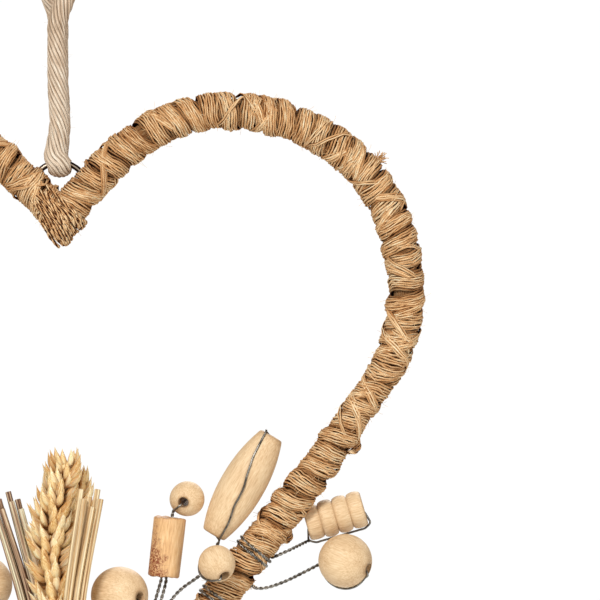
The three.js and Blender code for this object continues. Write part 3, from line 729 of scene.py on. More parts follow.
def frame_line(side, beyond_cleft=0.0, beyond_tip=0.0):
    """One half of the heart from the cleft to the tip, run on past each end if asked."""
    rise = CLEFT_ANGLES[side]
    top = (STRAIGHT_LENGTH * math.sin(SIDE_LEAN), STRAIGHT_LENGTH * math.cos(SIDE_LEAN) - TIP_DEPTH)
    lower = WIDEST_DEPTH + top[1]
    leave, arrive, round_ = 0.38 * LOBE_X, 0.48 * LOBE_X, 0.58
    line = bezier([(0, -CLEFT_DEPTH), (leave * math.cos(rise), leave * math.sin(rise) - CLEFT_DEPTH),
                   (LOBE_X - arrive, 0), (LOBE_X, 0)], 40)
    line += bezier([(LOBE_X, 0), (LOBE_X + round_ * (HALF_WIDTH - LOBE_X), 0),
                    (HALF_WIDTH, (round_ - 1) * WIDEST_DEPTH), (HALF_WIDTH, -WIDEST_DEPTH)], 60)
    into_top = 0.34 * lower * math.sin(SIDE_LEAN), 0.34 * lower * math.cos(SIDE_LEAN)
    line += bezier([(HALF_WIDTH, -WIDEST_DEPTH), (HALF_WIDTH, 0.42 * lower - WIDEST_DEPTH),
                    (top[0] - into_top[0], top[1] - into_top[1]), top], 40)
    line += [np.array(top) + (np.array((0, -TIP_DEPTH)) - np.array(top)) * t for t in np.linspace(0, 1, 60)]
    first = line[0] - beyond_cleft * np.array((math.cos(rise), math.sin(rise)))
    last = line[-1] - beyond_tip * np.array((math.sin(SIDE_LEAN), math.cos(SIDE_LEAN)))
    whole = ([first] if beyond_cleft else []) + line + ([last] if beyond_tip else [])
    return [Vector((TIP.x + side * x, 0, LOBE_TOP_Z + z)) for x, z in whole]


def side_point(side, along, out, forward):
    """A point of a straight side: up from the tip, out from its line, and to the front."""
    x = along * math.sin(SIDE_LEAN) + out * math.cos(SIDE_LEAN)
    z = along * math.cos(SIDE_LEAN) - out * math.sin(SIDE_LEAN)
    return Vector((TIP.x + side * x, -forward, TIP.z + z))


# %% [markdown]
# The jute is a soft yarn about six millimetres wide, wound turn beside turn: nine strands in a
# band, with a crease where one turn meets the next. Short lengths laid over it at a steeper slant,
# both ways, are the places where the winder's hand went back, and stray pairs of strands cross
# them at slants of their own. The yarn is drawn tighter at the knee, where the lobe runs into the
# straight side. Under everything lies a plain body, so that no gap shows the inside; its colour is
# painted shade, as dark as the valleys between turns where it shows. Left and right are separate
# pieces, which keeps each light.

# %% Winding the frame
YARN_WIDTH = 6.2
YARN_STRANDS = 9
JUTE_RADIUS = 0.46
POINTS_PER_TURN = 21
CORE_SINK = 1.7
CORE_CREASE = 0.35
KNEE_Z = -155
KNEE_REACH = 17
KNEE_SLIMMER = 0.75
LEFT_DIP_X = -19
LEFT_DIP_REACH = 9
# The pitch in mm and the number of the lengths laid back, then the same of the stray pairs.
LAID_BACK = ((19, 13), (-16, 12), (-32, 5))
STRAY_PITCHES = (23, -26, 11, -9)
STRAY_COUNT = 12


def crossings(line, count, slope, rng):
    """Short stretches of the line, each with a random start of its turn."""
    stretches, phases = [], []
    for start in np.linspace(0.05, 0.94, count) + rng.uniform(-0.035, 0.035, count):
        first = int(start * (len(line) - 1))
        reach = rng.uniform(9, 17) * abs(slope) / 18
        last = first + 1
        while last < len(line) - 1 and (line[last] - line[first]).length < reach:
            last += 1
        stretches.append(line[first:last + 1])
        phases.append(rng.uniform(0, 1))
    return stretches, phases


def knee_share(point):
    """1 where the lobe runs into the straight side, and less away from it."""
    return math.exp(-((point.z - KNEE_Z) / KNEE_REACH) ** 2)


def knee_slim(point):
    """How many mm the winding is slimmer at a point, because of the knee."""
    return KNEE_SLIMMER * knee_share(point)


def sagged(point, side):
    """The wound yarn lies a little off the frame's line: inwards at the knee, lower at the left lobe."""
    knee = knee_share(point)
    on_left_lobe = side < 0 and point.z > -110
    dip = math.exp(-((point.x - LEFT_DIP_X) / LEFT_DIP_REACH) ** 2) if on_left_lobe else 0.0
    return point + Vector((-0.9 * side * knee - 0.4 * dip, 0, 0.4 * knee - 0.9 * dip))


def winding(side, seed):
    """The meshes of one half's winding: its core, the yarn, the lengths laid back and the strays."""
    line = [sagged(point, side) for point in frame_line(side, 2.2, 5.0)]
    rng = np.random.default_rng(seed)
    core = core_of([line], jute, WRAP_RADIUS - CORE_SINK, 2.5, 14)
    # The core is coloured with painted shade: its low crease value makes it as dark as the valleys between
    # turns, where it shows.
    core.attributes["crease"].data.foreach_set("value", np.full(len(core.vertices), CORE_CREASE))
    yarn = laid([line], jute, YARN_STRANDS, WRAP_RADIUS - 0.35, YARN_WIDTH, JUTE_RADIUS,
                YARN_WIDTH / POINTS_PER_TURN, 4, slim=knee_slim, band_width=YARN_WIDTH * 1.06,
                roll_height=1.7, slant=1.5, wander=1.1, unevenness=1.5, seed=seed)
    meshes = [core, yarn]
    for slope, count in LAID_BACK:
        stretches, phases = crossings(line, count, slope, rng)
        meshes.append(laid(stretches, jute, 4, WRAP_RADIUS + 0.05, slope, JUTE_RADIUS, 0.9, 5,
                           phases, knee_slim, band_width=2.9, roll_height=0.7, unevenness=1.2,
                           dip=1.6, seed=seed + slope))
    for slope in STRAY_PITCHES:
        stretches, phases = crossings(line, STRAY_COUNT, 0.55 * slope, rng)
        meshes.append(laid(stretches, jute, 2, WRAP_RADIUS + 0.45, slope, JUTE_RADIUS * 0.8, 1.0, 5,
                           phases, knee_slim, band_width=1.3, roll_height=0.3, unevenness=1.5,
                           dip=1.6, seed=seed + slope))
    return meshes


winding_meshes = {1: winding(1, 3), -1: winding(-1, 11)}

# %% [markdown]
# At the cleft and at loose places the yarn does what no rule gives: it runs from the left lobe
# round the outer corner and back, stands out as a flat loop, or ends in a tuft. These few strands
# are drawn one by one, as lines of their own.

# %% Strands drawn one by one


def cleft_strands(rng):
    """Hairpins that run down along the left lobe's yarn, round the outer corner and back behind."""
    lean = CLEFT_ANGLES[-1]
    middle = Vector((TIP.x, 0, LOBE_TOP_Z - CLEFT_DEPTH))
    down = Vector((math.cos(lean), 0, -math.sin(lean)))
    up = Vector((math.sin(lean), 0, math.cos(lean)))
    lines = []
    for across in np.arange(-6.9, 4.4, 0.42):
        thick = 6.7 * math.sqrt(1 - (min(across, 0.0) / 7.4) ** 2) + rng.uniform(-0.5, 0.35)
        outer = float(np.interp(across, (-7, -6, -1.2, 3, 5), (5.4, 7.4, 6.6, 7.2, 6.3)))
        corner = outer + rng.uniform(-0.3, 0.3)
        sway = rng.uniform(-1.1, 1.1)
        front, back = rng.uniform(4, 13, 2)
        lift = 0.018 * max(0.0, -3.5 - across)
        bend = [(corner * math.sin(a), -thick * math.cos(a)) for a in np.linspace(0, math.pi, 13)]
        runs = [(-front * t, -thick + 1.6 * t ** 4) for t in (1, 0.75, 0.5, 0.25)]
        runs += bend + [(-back * t, thick - 1.6 * t ** 4) for t in (0.25, 0.5, 0.75, 1)]
        lines.append([middle + down * along + Vector((0, deep, 0))
                      + up * (across + sway * math.sin(0.33 * along) + lift * min(along, 0) ** 2)
                      for along, deep in runs])
    return lines


def loose_loop(side, along, wide, high, strands, rng):
    """A flat loop of yarn that stands out from the outer side of a straight length."""
    lines = []
    for i in range(strands):
        reach = high - 0.55 * i + rng.uniform(-0.1, 0.1)
        lines.append([side_point(side, along + wide * (t - 0.5) + rng.uniform(-0.15, 0.15),
                                 WRAP_RADIUS - 1.2 + reach * math.sin(math.pi * t) ** 0.7, 1.5 - 3 * t)
                      for t in np.linspace(0, 1, 11)])
    return lines


def tuft(root, away, count, length, rng):
    """Short curled fibres that stand out together."""
    lines = []
    for _ in range(count):
        aim = (Vector(away).normalized() + Vector(rng.uniform(-0.75, 0.75, 3))).normalized()
        bend = Vector(rng.uniform(-1, 1, 3)) * length * 0.35
        reach = length * rng.uniform(0.45, 1.0)
        start = Vector(root) + Vector(rng.uniform(-0.8, 0.8, 3))
        lines.append([start + aim * reach * t + bend * t * t for t in np.linspace(0, 1, 6)])
    return lines


hand = np.random.default_rng(17)
right_line = frame_line(1)
tuft_root = min(right_line, key=lambda p: (p - Vector((101, 0, -78))).length)
tuft_aim = (Vector((103.4, 0, -76)) - tuft_root).normalized()
loops = {1: [], -1: []}
for side, alongs in ((1, (147, 111)), (-1, (136, 104))):
    for along in alongs:
        loops[side] += loose_loop(side, along, hand.uniform(4, 6), hand.uniform(2.4, 2.9), 4, hand)
    winding_meshes[side].append(laid(loops[side], jute, 2, 0.24, 6, 0.32, 0.8, 4,
                                     unevenness=0.4, seed=side + 3))
winding_meshes[1].append(laid(cleft_strands(hand), jute, 2, 0.2, 6, 0.36, 0.9, 4, unevenness=0.5, seed=7))
tufts = tuft(tuft_root + tuft_aim * 5.4, tuft_aim, 46, 3.4, hand)
tufts += tuft(side_point(1, 92, 5.3, 0), (0.8, 0, -0.6), 12, 2.6, hand)
winding_meshes[1].append(laid(tufts, jute, 1, 0, 10, 0.13, 0.6, 4))

# %% [markdown]
# Jute is hairy. Short bent fibres stand out all over it, a few in tufts. A tree scatters points on
# the finished winding and puts a thin bent hair on each, leaning at random from the surface.

# %% Stray fibres


def fibres_tree():
    graph, given, out = geometry_tree("stray fibres", [
        ("Density", "Float", 30000.0), ("Length", "Float", 0.004), ("Thickness", "Float", 0.00005),
        ("Seed", "Int", 0), ("Material", "Material", None),
    ])
    value = given.outputs
    scatter = graph.add("GeometryNodeDistributePointsOnFaces", {"Mesh": value["Geometry"]},
                        distribute_method="RANDOM")
    graph.put(scatter.inputs["Density"], value["Density"])
    graph.put(scatter.inputs["Seed"], value["Seed"])
    lean = graph.add("FunctionNodeRandomValue", data_type="FLOAT_VECTOR")
    lean.inputs[0].default_value = (-1.3, -1.3, -1.3)
    lean.inputs[1].default_value = (1.3, 1.3, 1.3)
    graph.put(lean.inputs["Seed"], value["Seed"])
    pointing = graph.vector("ADD", scatter.outputs["Normal"], lean.outputs[0])
    turn = graph.add("FunctionNodeAlignRotationToVector", {"Vector": pointing}, axis="Z").outputs[0]
    arc = graph.add("GeometryNodeCurveQuadraticBezier")
    for key, spot in (("Start", (0, 0, -0.12)), ("Middle", (0.18, 0, 0.5)), ("End", (0.02, 0.2, 0.95))):
        arc.inputs[key].default_value = spot
    arc.inputs["Resolution"].default_value = 4
    size = graph.add("FunctionNodeRandomValue", data_type="FLOAT")
    size.inputs[2].default_value = 0.35
    size.inputs[3].default_value = 1.0
    length = graph.math("MULTIPLY", size.outputs[1], value["Length"])
    hairs = graph.add("GeometryNodeInstanceOnPoints", {
        "Points": scatter.outputs[0], "Instance": arc.outputs[0], "Rotation": turn,
        "Scale": length}).outputs[0]
    thick = graph.add("GeometryNodeCurvePrimitiveCircle", mode="RADIUS")
    thick.inputs["Resolution"].default_value = 3
    graph.put(thick.inputs["Radius"], value["Thickness"])
    marked = keep(graph, swept(graph, realized(graph, hairs), thick.outputs[0]), "crease", 1.0)
    marked = keep(graph, marked, "band", size.outputs[1])
    return put_out(graph, marked, value["Material"], out)


fibres = fibres_tree()


def fuzz(meshes, material, density, length, thickness, seed):
    """Fibres on the surface of the meshes, as one mesh. Sizes are in mm, density is in hairs a mm2."""
    mesh = joined("fuzz_ground", meshes)
    values = {"Density": density / MM ** 2, "Length": length * MM, "Seed": seed,
              "Thickness": thickness * MM, "Material": material}
    return grown_mesh(new_object("fuzz_ground", mesh), fibres, values)


for side, word in ((1, "right"), (-1, "left")):
    meshes = winding_meshes[side]
    hairs = fuzz(meshes, jute, 0.016, 3.2, 0.045, 5 + side)
    nodes = ["heart_winding"] if side == 1 else []
    piece(f"yarn_winding_{word}", meshes + [hairs], "jute", *nodes)

# %% [markdown]
# The cord is a thick cotton cord of many fine yarns, doubled through the ring and knotted into a
# loop above. It is one free cord: its line starts under the ring, goes up the front leg, through
# the knot and back down behind. The wire presses it flat where it bends, so the finished mesh is
# squeezed there.

# %% The hanging cord
CORD_DIAMETER = 6.4
CORD_YARNS = 14
CORD_YARN_RADIUS = 0.68
RING_CENTRE = Vector((0, 0, -86.8))
RING_RADIUS = 8.9
RING_WIRE_RADIUS = 0.95
LEG_SPACING = 4.3
HOOK_SPACING = 6.2
BEND_LOW_Z = -81.6
# How far the doubled cord hangs beside its middle at each height, in mm.
CORD_SWAY = ((-82, 0.0), (-76, -1.0), (-66, 0.1), (-52, -0.5), (-38, -0.6), (-24, -0.3), (-3, 0.0))
LEG_HEIGHTS = (-76, -71, -66, -59, -52, -45, -38, -33, -29, -25, -21, -17, -12, -7, -3)


def leg(side):
    """One leg from the ring up to the knot. It turns from front or back to right or left."""
    points = []
    for z in LEG_HEIGHTS:
        opened = smoothstep(z, -24, -4)
        spacing = LEG_SPACING + (HOOK_SPACING - LEG_SPACING) * opened
        angle = math.pi / 2 * (1 - smoothstep(z, -35, -12))
        sway = float(np.interp(z, *zip(*CORD_SWAY)))
        x = sway + side * spacing * math.cos(angle)
        points.append(Vector((x, -side * spacing * math.sin(angle), z)))
    return points


def half_bend(side):
    """The bend under the ring, from its lowest point to one leg."""
    return [Vector((0, -side * LEG_SPACING * math.sin(a), BEND_LOW_Z + LEG_SPACING * (1 - math.cos(a))))
            for a in np.radians((0, 25, 50, 75))]


def smooth_line(points, spacing):
    """A smooth line through the points, with a point every so many mm."""
    data = [points[0] * 2 - points[1], *points, points[-1] * 2 - points[-2]]
    line = []
    for p0, p1, p2, p3 in zip(data, data[1:], data[2:], data[3:]):
        steps = max(1, round((p2 - p1).length / spacing))
        for t in np.linspace(0, 1, steps, endpoint=False):
            line.append(0.5 * (2 * p1 + (p2 - p0) * t + (2 * p0 - 5 * p1 + 4 * p2 - p3) * t * t
                               + (3 * p1 - p0 - 3 * p2 + p3) * t ** 3))
    return line + [points[-1]]


knot_turn = [Vector((4.6, 0, 2)), Vector((2.4, 0, 5.4)), Vector((-2.4, 0, 5.4)), Vector((-4.6, 0, 2))]
cord_route = (half_bend(1) + leg(1) + knot_turn + leg(-1)[::-1] + half_bend(-1)[::-1][:-1]
              + [Vector((0, 0.3, BEND_LOW_Z))])
cord_line = smooth_line(cord_route, 1.5)
cord_mesh = laid([cord_line], cotton, CORD_YARNS, CORD_DIAMETER / 2 - CORD_YARN_RADIUS, -38,
                 CORD_YARN_RADIUS, 1.1, 8, unevenness=0.9, seed=2)
cord_core = core_of([cord_line], cotton, CORD_DIAMETER / 2 - 1.1, 1.5, 10)


def press_at_ring(mesh):
    """Flattens the cord under the ring's wire and lets it spread sideways there."""
    co = np.empty(len(mesh.vertices) * 3)
    mesh.vertices.foreach_get("co", co)
    co = co.reshape(-1, 3)
    low = 1 - smoothstep(co[:, 2] / MM, -81, -74)
    wide = np.interp(co[:, 2] / MM, (-84, -80, -77, -72, -66), (0.08, 0.16, 0.22, 0.08, 0.0))
    co[:, 0] *= 1 + wide
    middle = BEND_LOW_Z * MM
    under = low * (np.abs(co[:, 1]) < 7 * MM)
    pressed = middle + 0.6 * MM + (co[:, 2] - middle) * (1 - 0.42 * under)
    co[:, 2] = np.where(co[:, 2] < middle + 3.4 * MM, pressed, co[:, 2])
    mesh.vertices.foreach_set("co", co.ravel())


press_at_ring(cord_mesh)
press_at_ring(cord_core)
cord_hairs = fuzz([cord_mesh], cotton, 0.012, 3.0, 0.03, 21)
hanging_cord = piece("hanging_cord_cotton", [cord_mesh, cord_core, cord_hairs], "cotton", "hanging_cord")

# %% [markdown]
# The knot is out of the picture. Both ends of the cord wind round the two legs and come out of the
# top as two short tails with frayed ends, a plain wrapped knot.

# %% The knot
KNOT_HEIGHT = 11.5
KNOT_CORD = 2.35
COIL_STEPS = 30
KNOT_TURNS = 2.4


def knot_coil():
    """Two and a bit turns round the legs, a little squashed to the sides."""
    points = []
    for step in range(COIL_STEPS + 1):
        angle = 2 * math.pi * KNOT_TURNS * step / COIL_STEPS
        z = 2.7 + (KNOT_HEIGHT - 5.4) * step / COIL_STEPS
        points.append(Vector((5.6 * math.cos(angle), 2.6 * math.sin(angle), z)))
    return points


def tail(side, shorter=0.0):
    """One end of the cord, which comes out of the knot's top."""
    return [Vector((side * 1.5, 0, 6)), Vector((side * 3, -side, KNOT_HEIGHT)),
            Vector((side * 4.9, -1.5 * side, KNOT_HEIGHT + 5)),
            Vector((side * 6, -1.5 * side, KNOT_HEIGHT + 10.4 - shorter))]


coil_line = smooth_line(knot_coil(), 1.2)
coil_mesh = laid([coil_line], cotton, 11, KNOT_CORD - 0.6, -30, 0.62, 1.0, 6, unevenness=0.3, seed=8)
coil_core = core_of([coil_line], cotton, KNOT_CORD - 0.7, 1.2, 8)
tail_lines = [smooth_line(tail(side), 1.2) for side in (1, -1)]
tail_mesh = laid(tail_lines, cotton, 11, KNOT_CORD - 0.6, -30, 0.6, 1.0, 6, unevenness=0.4, seed=9)
tail_cores = [smooth_line(tail(side, 0.8), 1.2) for side in (1, -1)]
tail_core = core_of(tail_cores, cotton, KNOT_CORD - 0.7, 1.2, 8)
knot_hairs = fuzz([coil_mesh, tail_mesh], cotton, 0.04, 2.6, 0.03, 22)
knot = piece("cord_knot_wrapped", [coil_mesh, coil_core, tail_mesh, tail_core, knot_hairs],
             "cotton", "cord_knot")

# %% [markdown]
# The ring is plain round steel, darkened and polished. A fine torus is all it needs, with a bright line
# painted along the front and back of its wire as its highlight.

# %% The ring


def torus_mesh(name, radius, wire, material):
    shape = bmesh.new()
    around, section = 96, 24
    rows = []
    for i in range(around):
        a = 2 * math.pi * i / around
        row = []
        for j in range(section):
            b = 2 * math.pi * j / section
            out = radius + wire * math.cos(b)
            x = (RING_CENTRE.x + out * math.cos(a)) * MM
            z = (RING_CENTRE.z + out * math.sin(a)) * MM
            row.append(shape.verts.new((x, wire * math.sin(b) * MM, z)))
        rows.append(row)
    return skinned(name, shape, rows, material, closed=True)


ring_mesh = torus_mesh("ring", RING_RADIUS, RING_WIRE_RADIUS, ring_metal)
piece("steel_ring", [ring_mesh], "dark_ring", "hanging_ring")

# %% [markdown]
# Beads are turned on a lathe, so each is a profile spun round its axis, bore included. The
# profile's corners are rounded as sanding leaves them. Every point keeps its place along the axis
# as an attribute, so that the grain follows each bead however it hangs.

# %% Turned beads
BORE_RADIUS = 1.7
SPIN_STEPS = 56


def ball_profile(radius):
    """Half a circle from one bore edge to the other."""
    start = math.asin(BORE_RADIUS / radius)
    angles = np.linspace(start, math.pi - start, 30)
    return [(-radius * math.cos(a), radius * math.sin(a)) for a in angles]


def mirrored(edge, body):
    """The profile of a bead whose two ends are alike."""
    return edge + body + [(-x, r) for x, r in reversed(edge)]


def barrel_profile(length=36.7, middle=7.15, end=4.1, corner=0.7):
    body = [(s * (length / 2 - corner), middle - (middle - end) * abs(s) ** 2.1)
            for s in np.linspace(-1, 1, 33)]
    return mirrored([(-length / 2, end - corner * 1.2),
                     (-length / 2 + corner * 0.25, end - corner * 0.45)], body)


def twig_profile(length=19.0, radius=5.1, corner=0.45):
    body = [(s * (length / 2 - corner), radius) for s in np.linspace(-1, 1, 15)]
    return mirrored([(-length / 2, radius - corner * 1.6),
                     (-length / 2 + corner * 0.2, radius - corner * 0.6)], body)


def ribbed_profile(length=19.2, ridge=6.05, groove=5.2, ridges=4):
    points = []
    for s in np.linspace(0, 1, 61):
        swell = abs(math.sin(math.pi * ridges * s)) ** 0.42
        rib = min(ridges - 1, int(s * ridges))
        top = (0.93, 1.0, 1.0, 0.99)[rib] * ridge
        points.append(((s - 0.5) * length, groove * 0.94 + (top - groove * 0.94) * swell))
    return [(-length / 2, groove * 0.72)] + points + [(length / 2, groove * 0.72)]


def turned(name, profile, centre, axis, material, seed, lumpy=0.0, ribs=False):
    """Spins the profile (place along the axis, radius) and closes it through the bore."""
    rim = 0.25
    bore = BORE_RADIUS
    is_twig = material is twig_wood
    half_in, half_out = profile[0][0], profile[-1][0]
    loop = [*profile, (half_out - rim * 0.3, bore + rim * 0.4), (half_out - rim * 1.5, bore)]
    loop += [(half_in + (half_out - half_in) * t, bore) for t in (0.66, 0.33)]
    loop += [(half_in + rim * 1.5, bore), (half_in + rim * 0.3, bore + rim * 0.4)]
    turn = Vector((1, 0, 0)).rotation_difference(Vector(axis))
    rng = np.random.default_rng(seed)
    waves = [(rng.integers(2, 5), rng.uniform(0, 6.28), rng.uniform(0.1, 0.35)) for _ in range(3)]
    shape = bmesh.new()
    grain = shape.verts.layers.float_vector.new("grain")
    edge = shape.verts.layers.float.new("edge")
    highest = max(r for _, r in profile)
    rows = []
    roll = rng.uniform(0, 6.28)
    shift = Vector(rng.uniform(-0.05, 0.05, 3))
    for i in range(SPIN_STEPS):
        a = 2 * math.pi * i / SPIN_STEPS
        row = []
        for x, r in loop:
            wave = sum(w * math.sin(n * a + p + 0.12 * x) for n, p, w in waves)
            wobble = 1 + lumpy * wave * (r > bore * 1.6)
            local = Vector((x, r * wobble * math.cos(a), r * wobble * math.sin(a)))
            if is_twig and r > bore * 1.3:
                local.x += 0.28 * math.sin(3 * a + roll) * math.sin(5 * a) * (x / half_out) ** 4
            vert = shape.verts.new((Vector(centre) + turn @ local) * MM)
            rolled = Vector((local.x, local.y * math.cos(roll) - local.z * math.sin(roll),
                             local.y * math.sin(roll) + local.z * math.cos(roll)))
            vert[grain] = rolled * MM + shift * (not is_twig)
            # The edge value: darker towards the ends, and painted shade in the grooves between ribs and
            # inside the bore.
            rim_share = float(smoothstep(abs(x) / half_out, 0.93, 1.0))
            groove = float(smoothstep(highest - r, 0.5, 1.1)) if ribs else 0.0
            inside = 1.0 if r < bore * 1.2 else 0.0
            vert[edge] = max(rim_share, groove, inside)
            row.append(vert)
        rows.append(row)
    return skinned(name, shape, rows, material, closed=True)


# %% [markdown]
# Each bead hangs on soft steel wire: two strands twisted into a stem that grows out of the winding
# or starts in two coils round it, and one strand that runs through the bore and back over the
# outside of the bead. The places are the CAD model's, up the side from the tip, and some beads are
# moved by a few tenths of a millimetre to fit the photograph.

# %% Places of the beads and wires
STRAND_RADIUS = 0.3
TWIST_RADIUS = 0.56
TWIST_PITCH = 3.3
CLEAR = 0.35
WRAP_BUMP = 0.3
COIL_TURNS = 2
COIL_PITCH = 2 * TWIST_RADIUS + 2 * CLEAR
SOCKET_DEPTH = 2.6


def surface_point(side, place):
    along, reach, forward = place
    return side_point(side, along, reach + math.copysign(WRAP_RADIUS, reach), forward)


def wire_coil(side, along, out):
    """Two turns round the winding that start and end beside it, on its outer or inner side."""
    radius = WRAP_RADIUS + 0.45
    steps = COIL_TURNS * 16
    points = []
    for i in range(steps + 1):
        turn = 2 * math.pi * i / 16
        points.append(side_point(side, along + COIL_PITCH * i / 16,
                                 out * radius * math.cos(turn), radius * math.sin(turn)))
    return points


def wire_root(side, along, out, forward):
    direction = Vector((out, forward)).normalized()
    return [side_point(side, along, reach * direction.x, reach * direction.y)
            for reach in (WRAP_RADIUS - SOCKET_DEPTH, WRAP_RADIUS + SOCKET_DEPTH)]


def bead_strand(bead, towards, angle, sway=lambda share: 0.0):
    """The strand through the bore and close over the outside, and the point where the stem joins it.
    sway is how far the strand lies beside its straight way over the bead, at a share of its half."""
    centre, axis, half, reach = bead["centre"], bead["axis"], bead["half"], bead["reach"]
    towards = Vector(towards)
    beside = (towards - axis * towards.dot(axis)).normalized()
    third = beside.cross(axis)
    gap = STRAND_RADIUS + 0.08
    mouth = half + STRAND_RADIUS + 0.1

    def at(along, out, aside=0.0):
        return centre + axis * along + beside * out + third * aside

    over = []
    for share in (0.97, 0.84, 0.7, 0.54, 0.36, 0.18, 0, -0.18, -0.36, -0.54, -0.7, -0.84, -0.97):
        radius, aside = reach(share) + gap, sway(share)
        over.append(at(share * half, math.sqrt(max(radius * radius - aside * aside, 0.0)), aside))
    rim = [max(BORE_RADIUS + 0.5, 0.6 * reach(side * 0.97)) for side in (1, -1)]
    start = [at(half * 0.6, 0.5), at(half * 0.93, 0.9), at(mouth, rim[0], sway(1))]
    end = [at(-mouth, rim[1], sway(-1)), at(-half * 0.93, 0.9), at(-half * 0.6, 0.5)]
    if reach(0.97) > 2 * BORE_RADIUS:
        over = over[1:-1]
        start.append(at(mouth + 0.15, 0.86 * reach(0.97), sway(1)))
        end.insert(0, at(-mouth - 0.15, 0.86 * reach(-0.97), sway(-1)))
    line = smooth_line([at(0, 0.2), *start, *over, *end, at(0, 0.2)], 0.6)
    wanted = axis * math.cos(math.radians(angle)) + beside * math.sin(math.radians(angle))
    joint = max(line, key=lambda p: (p - centre).normalized().dot(wanted) + 0.02 * (p - centre).length)
    return line, joint


def wire_piece(name, stem, line, node):
    """A twisted stem and, where it holds a bead, the single strand round it."""
    meshes = [laid([smooth_line(stem, 0.8)], wire_steel, 2, TWIST_RADIUS - STRAND_RADIUS + 0.02,
                   TWIST_PITCH, STRAND_RADIUS, 0.42, 6)]
    if line:
        meshes.append(laid([line], wire_steel, 1, 0, 10, STRAND_RADIUS + 0.04, 0.5, 8))
    piece(name, meshes, "steel_wire", node)


def profile_reach(profile, half):
    """The profile's radius at a share of the bead's half length."""
    places = np.array([x for x, _ in profile])
    radii = np.array([r for _, r in profile])
    return lambda share: float(np.interp(share * half, places, radii))


def bead(node, profile, centre, axis, material, seed, lumpy=0.0, reach=None):
    """One bead of the named wood, and what its wire has to know of it."""
    axis = Vector(axis).normalized()
    half = profile[-1][0]
    name = f"{node}_wood"
    mesh = turned(name, profile, centre, axis, material, seed, lumpy, ribs=reach is not None)
    piece(name, [mesh], "twig_wood" if material is twig_wood else "bead_wood", node)
    return {"centre": centre, "axis": axis, "half": half, "reach": reach or profile_reach(profile, half)}


# %% Beads and wires of each side
RIDGE_RADIUS = 6.05
TWIN_GAP = 0.7
BARREL_SWAY = ((-1, -0.66, -0.29, -0.08, 0.11, 0.55, 1), (2.4, 2.2, 0.74, 1.1, -0.06, -1.76, -2.2))


def dress_side(side, word, shift):
    """The seven beads of one side, each with its wire."""
    front, under = (0, -1, 0), (0, 0, -1)
    seed = 40 + 20 * side

    def aim(x, y, z):
        return Vector((side * x, y, z)).normalized()

    def at(*place):
        return surface_point(side, place)

    def add_bead(kind, profile, place, axis, wood, number, lumpy, reach=None):
        return bead(f"{kind}_bead_{word}", profile, place, axis, wood, seed + number, lumpy, reach)

    def add_wire(kind, stem, line=None):
        wire_piece(f"{kind}_wire_{word}_steel", stem, line, f"{kind}_wire_{word}")

    along = 115.7 + shift["barrel"]
    barrel = add_bead("barrel", barrel_profile(), at(along - 0.2, -10.25, 3), aim(0.505, 0, 0.863),
                      bead_wood, 0, 0.012)
    line, joint = bead_strand(barrel, front, 180,
                              lambda share: -side * float(np.interp(share, *BARREL_SWAY)))
    add_wire("barrel", [*wire_coil(side, along - 35.2, -1), at(along - 25.2, -4, 3), joint], line)

    along = shift["twig"][0]
    twig_at = at(*shift["twig"])
    twig_axis = aim(0.1, 0, 0.995)
    twig = add_bead("twig", twig_profile(), twig_at, twig_axis, twig_wood, 1, 0.05)

    def in_twig(share, beside):
        return twig_at + twig_axis * share * twig["half"] + Vector((side * beside, 0, 0))

    small = add_bead("small", ball_profile(5.6), twig_at + Vector((side * 6.5, 0, 15.4)),
                     aim(-0.21, -0.96, -0.19), bead_wood, 2, 0.02)
    line, joint = bead_strand(small, aim(-0.75, 0, -0.66), 90)
    add_wire("small", [*wire_root(side, along - 29, -1, 0.3), in_twig(-1.3, TWIN_GAP),
                       in_twig(-0.9, TWIN_GAP), in_twig(0.9, TWIN_GAP), joint], line)
    add_wire("twig", [*wire_root(side, along - 34.5, -1, 0.2), in_twig(-1.5, -2 * TWIN_GAP),
                      in_twig(-1, -TWIN_GAP), in_twig(-0.3, -TWIN_GAP)])

    middle = add_bead("middle", ball_profile(5.9), at(91 + shift["middle"], -1.6, 10.2),
                      aim(0.43, -0.62, -0.65), bead_wood, 3, 0.02)
    line, joint = bead_strand(middle, aim(-0.82, 0, -0.57), 90)
    add_wire("middle", [*wire_root(side, 44.5, -1, 0.6), at(72, -6, 9), joint], line)

    along = 125.1 + shift["ribbed"]
    ribbed = add_bead("ribbed", ribbed_profile(ridge=RIDGE_RADIUS), at(along + 0.3, 8.35, -5.6),
                      aim(0.96, 0, 0.277), bead_wood, 4, 0.012, lambda share: RIDGE_RADIUS)
    line, joint = bead_strand(ribbed, under, 150)
    add_wire("ribbed", [*wire_coil(side, along - 25.6, 1), at(along - 16.8, 3.2, 2), joint], line)

    along = 116.8 + shift["round"]
    ball = add_bead("round", ball_profile(8.6), at(along - 0.5, 19.3, 3), aim(0.87, -0.4, -0.28),
                    bead_wood, 5, 0.01)
    line, joint = bead_strand(ball, under, 155)
    add_wire("round", [*wire_root(side, along - 24.6, 1, 0.2), at(along - 18.5, 7.5, 2), joint], line)

    large = add_bead("large", ball_profile(9.15), at(*shift["large"]), aim(0.75, -0.66, -0.04),
                     bead_wood, 6, 0.01)
    line, joint = bead_strand(large, under, 90)
    add_wire("large", [*wire_root(side, 38, -1, 0.4), joint], line)


dress_side(1, "right", {"barrel": 0, "middle": 0, "ribbed": 0, "round": 0,
                        "twig": (85.05, -17.4, 2), "large": (64.0, -20.0, 7.5)})
dress_side(-1, "left", {"barrel": 6, "middle": -8.5, "ribbed": 2, "round": -1.5,
                        "twig": (91.5, -15.8, 4), "large": (70.3, -16.4, -4)})

# %% [markdown]
# A straw is a thin tube with fine ribs along it and a cut end that shows it is hollow. Each is
# swept along its own line, a little thicker at one joint, and its wall is turned in at the end.
# The right fan is pale and the left one is greyer, as in the bouquet.

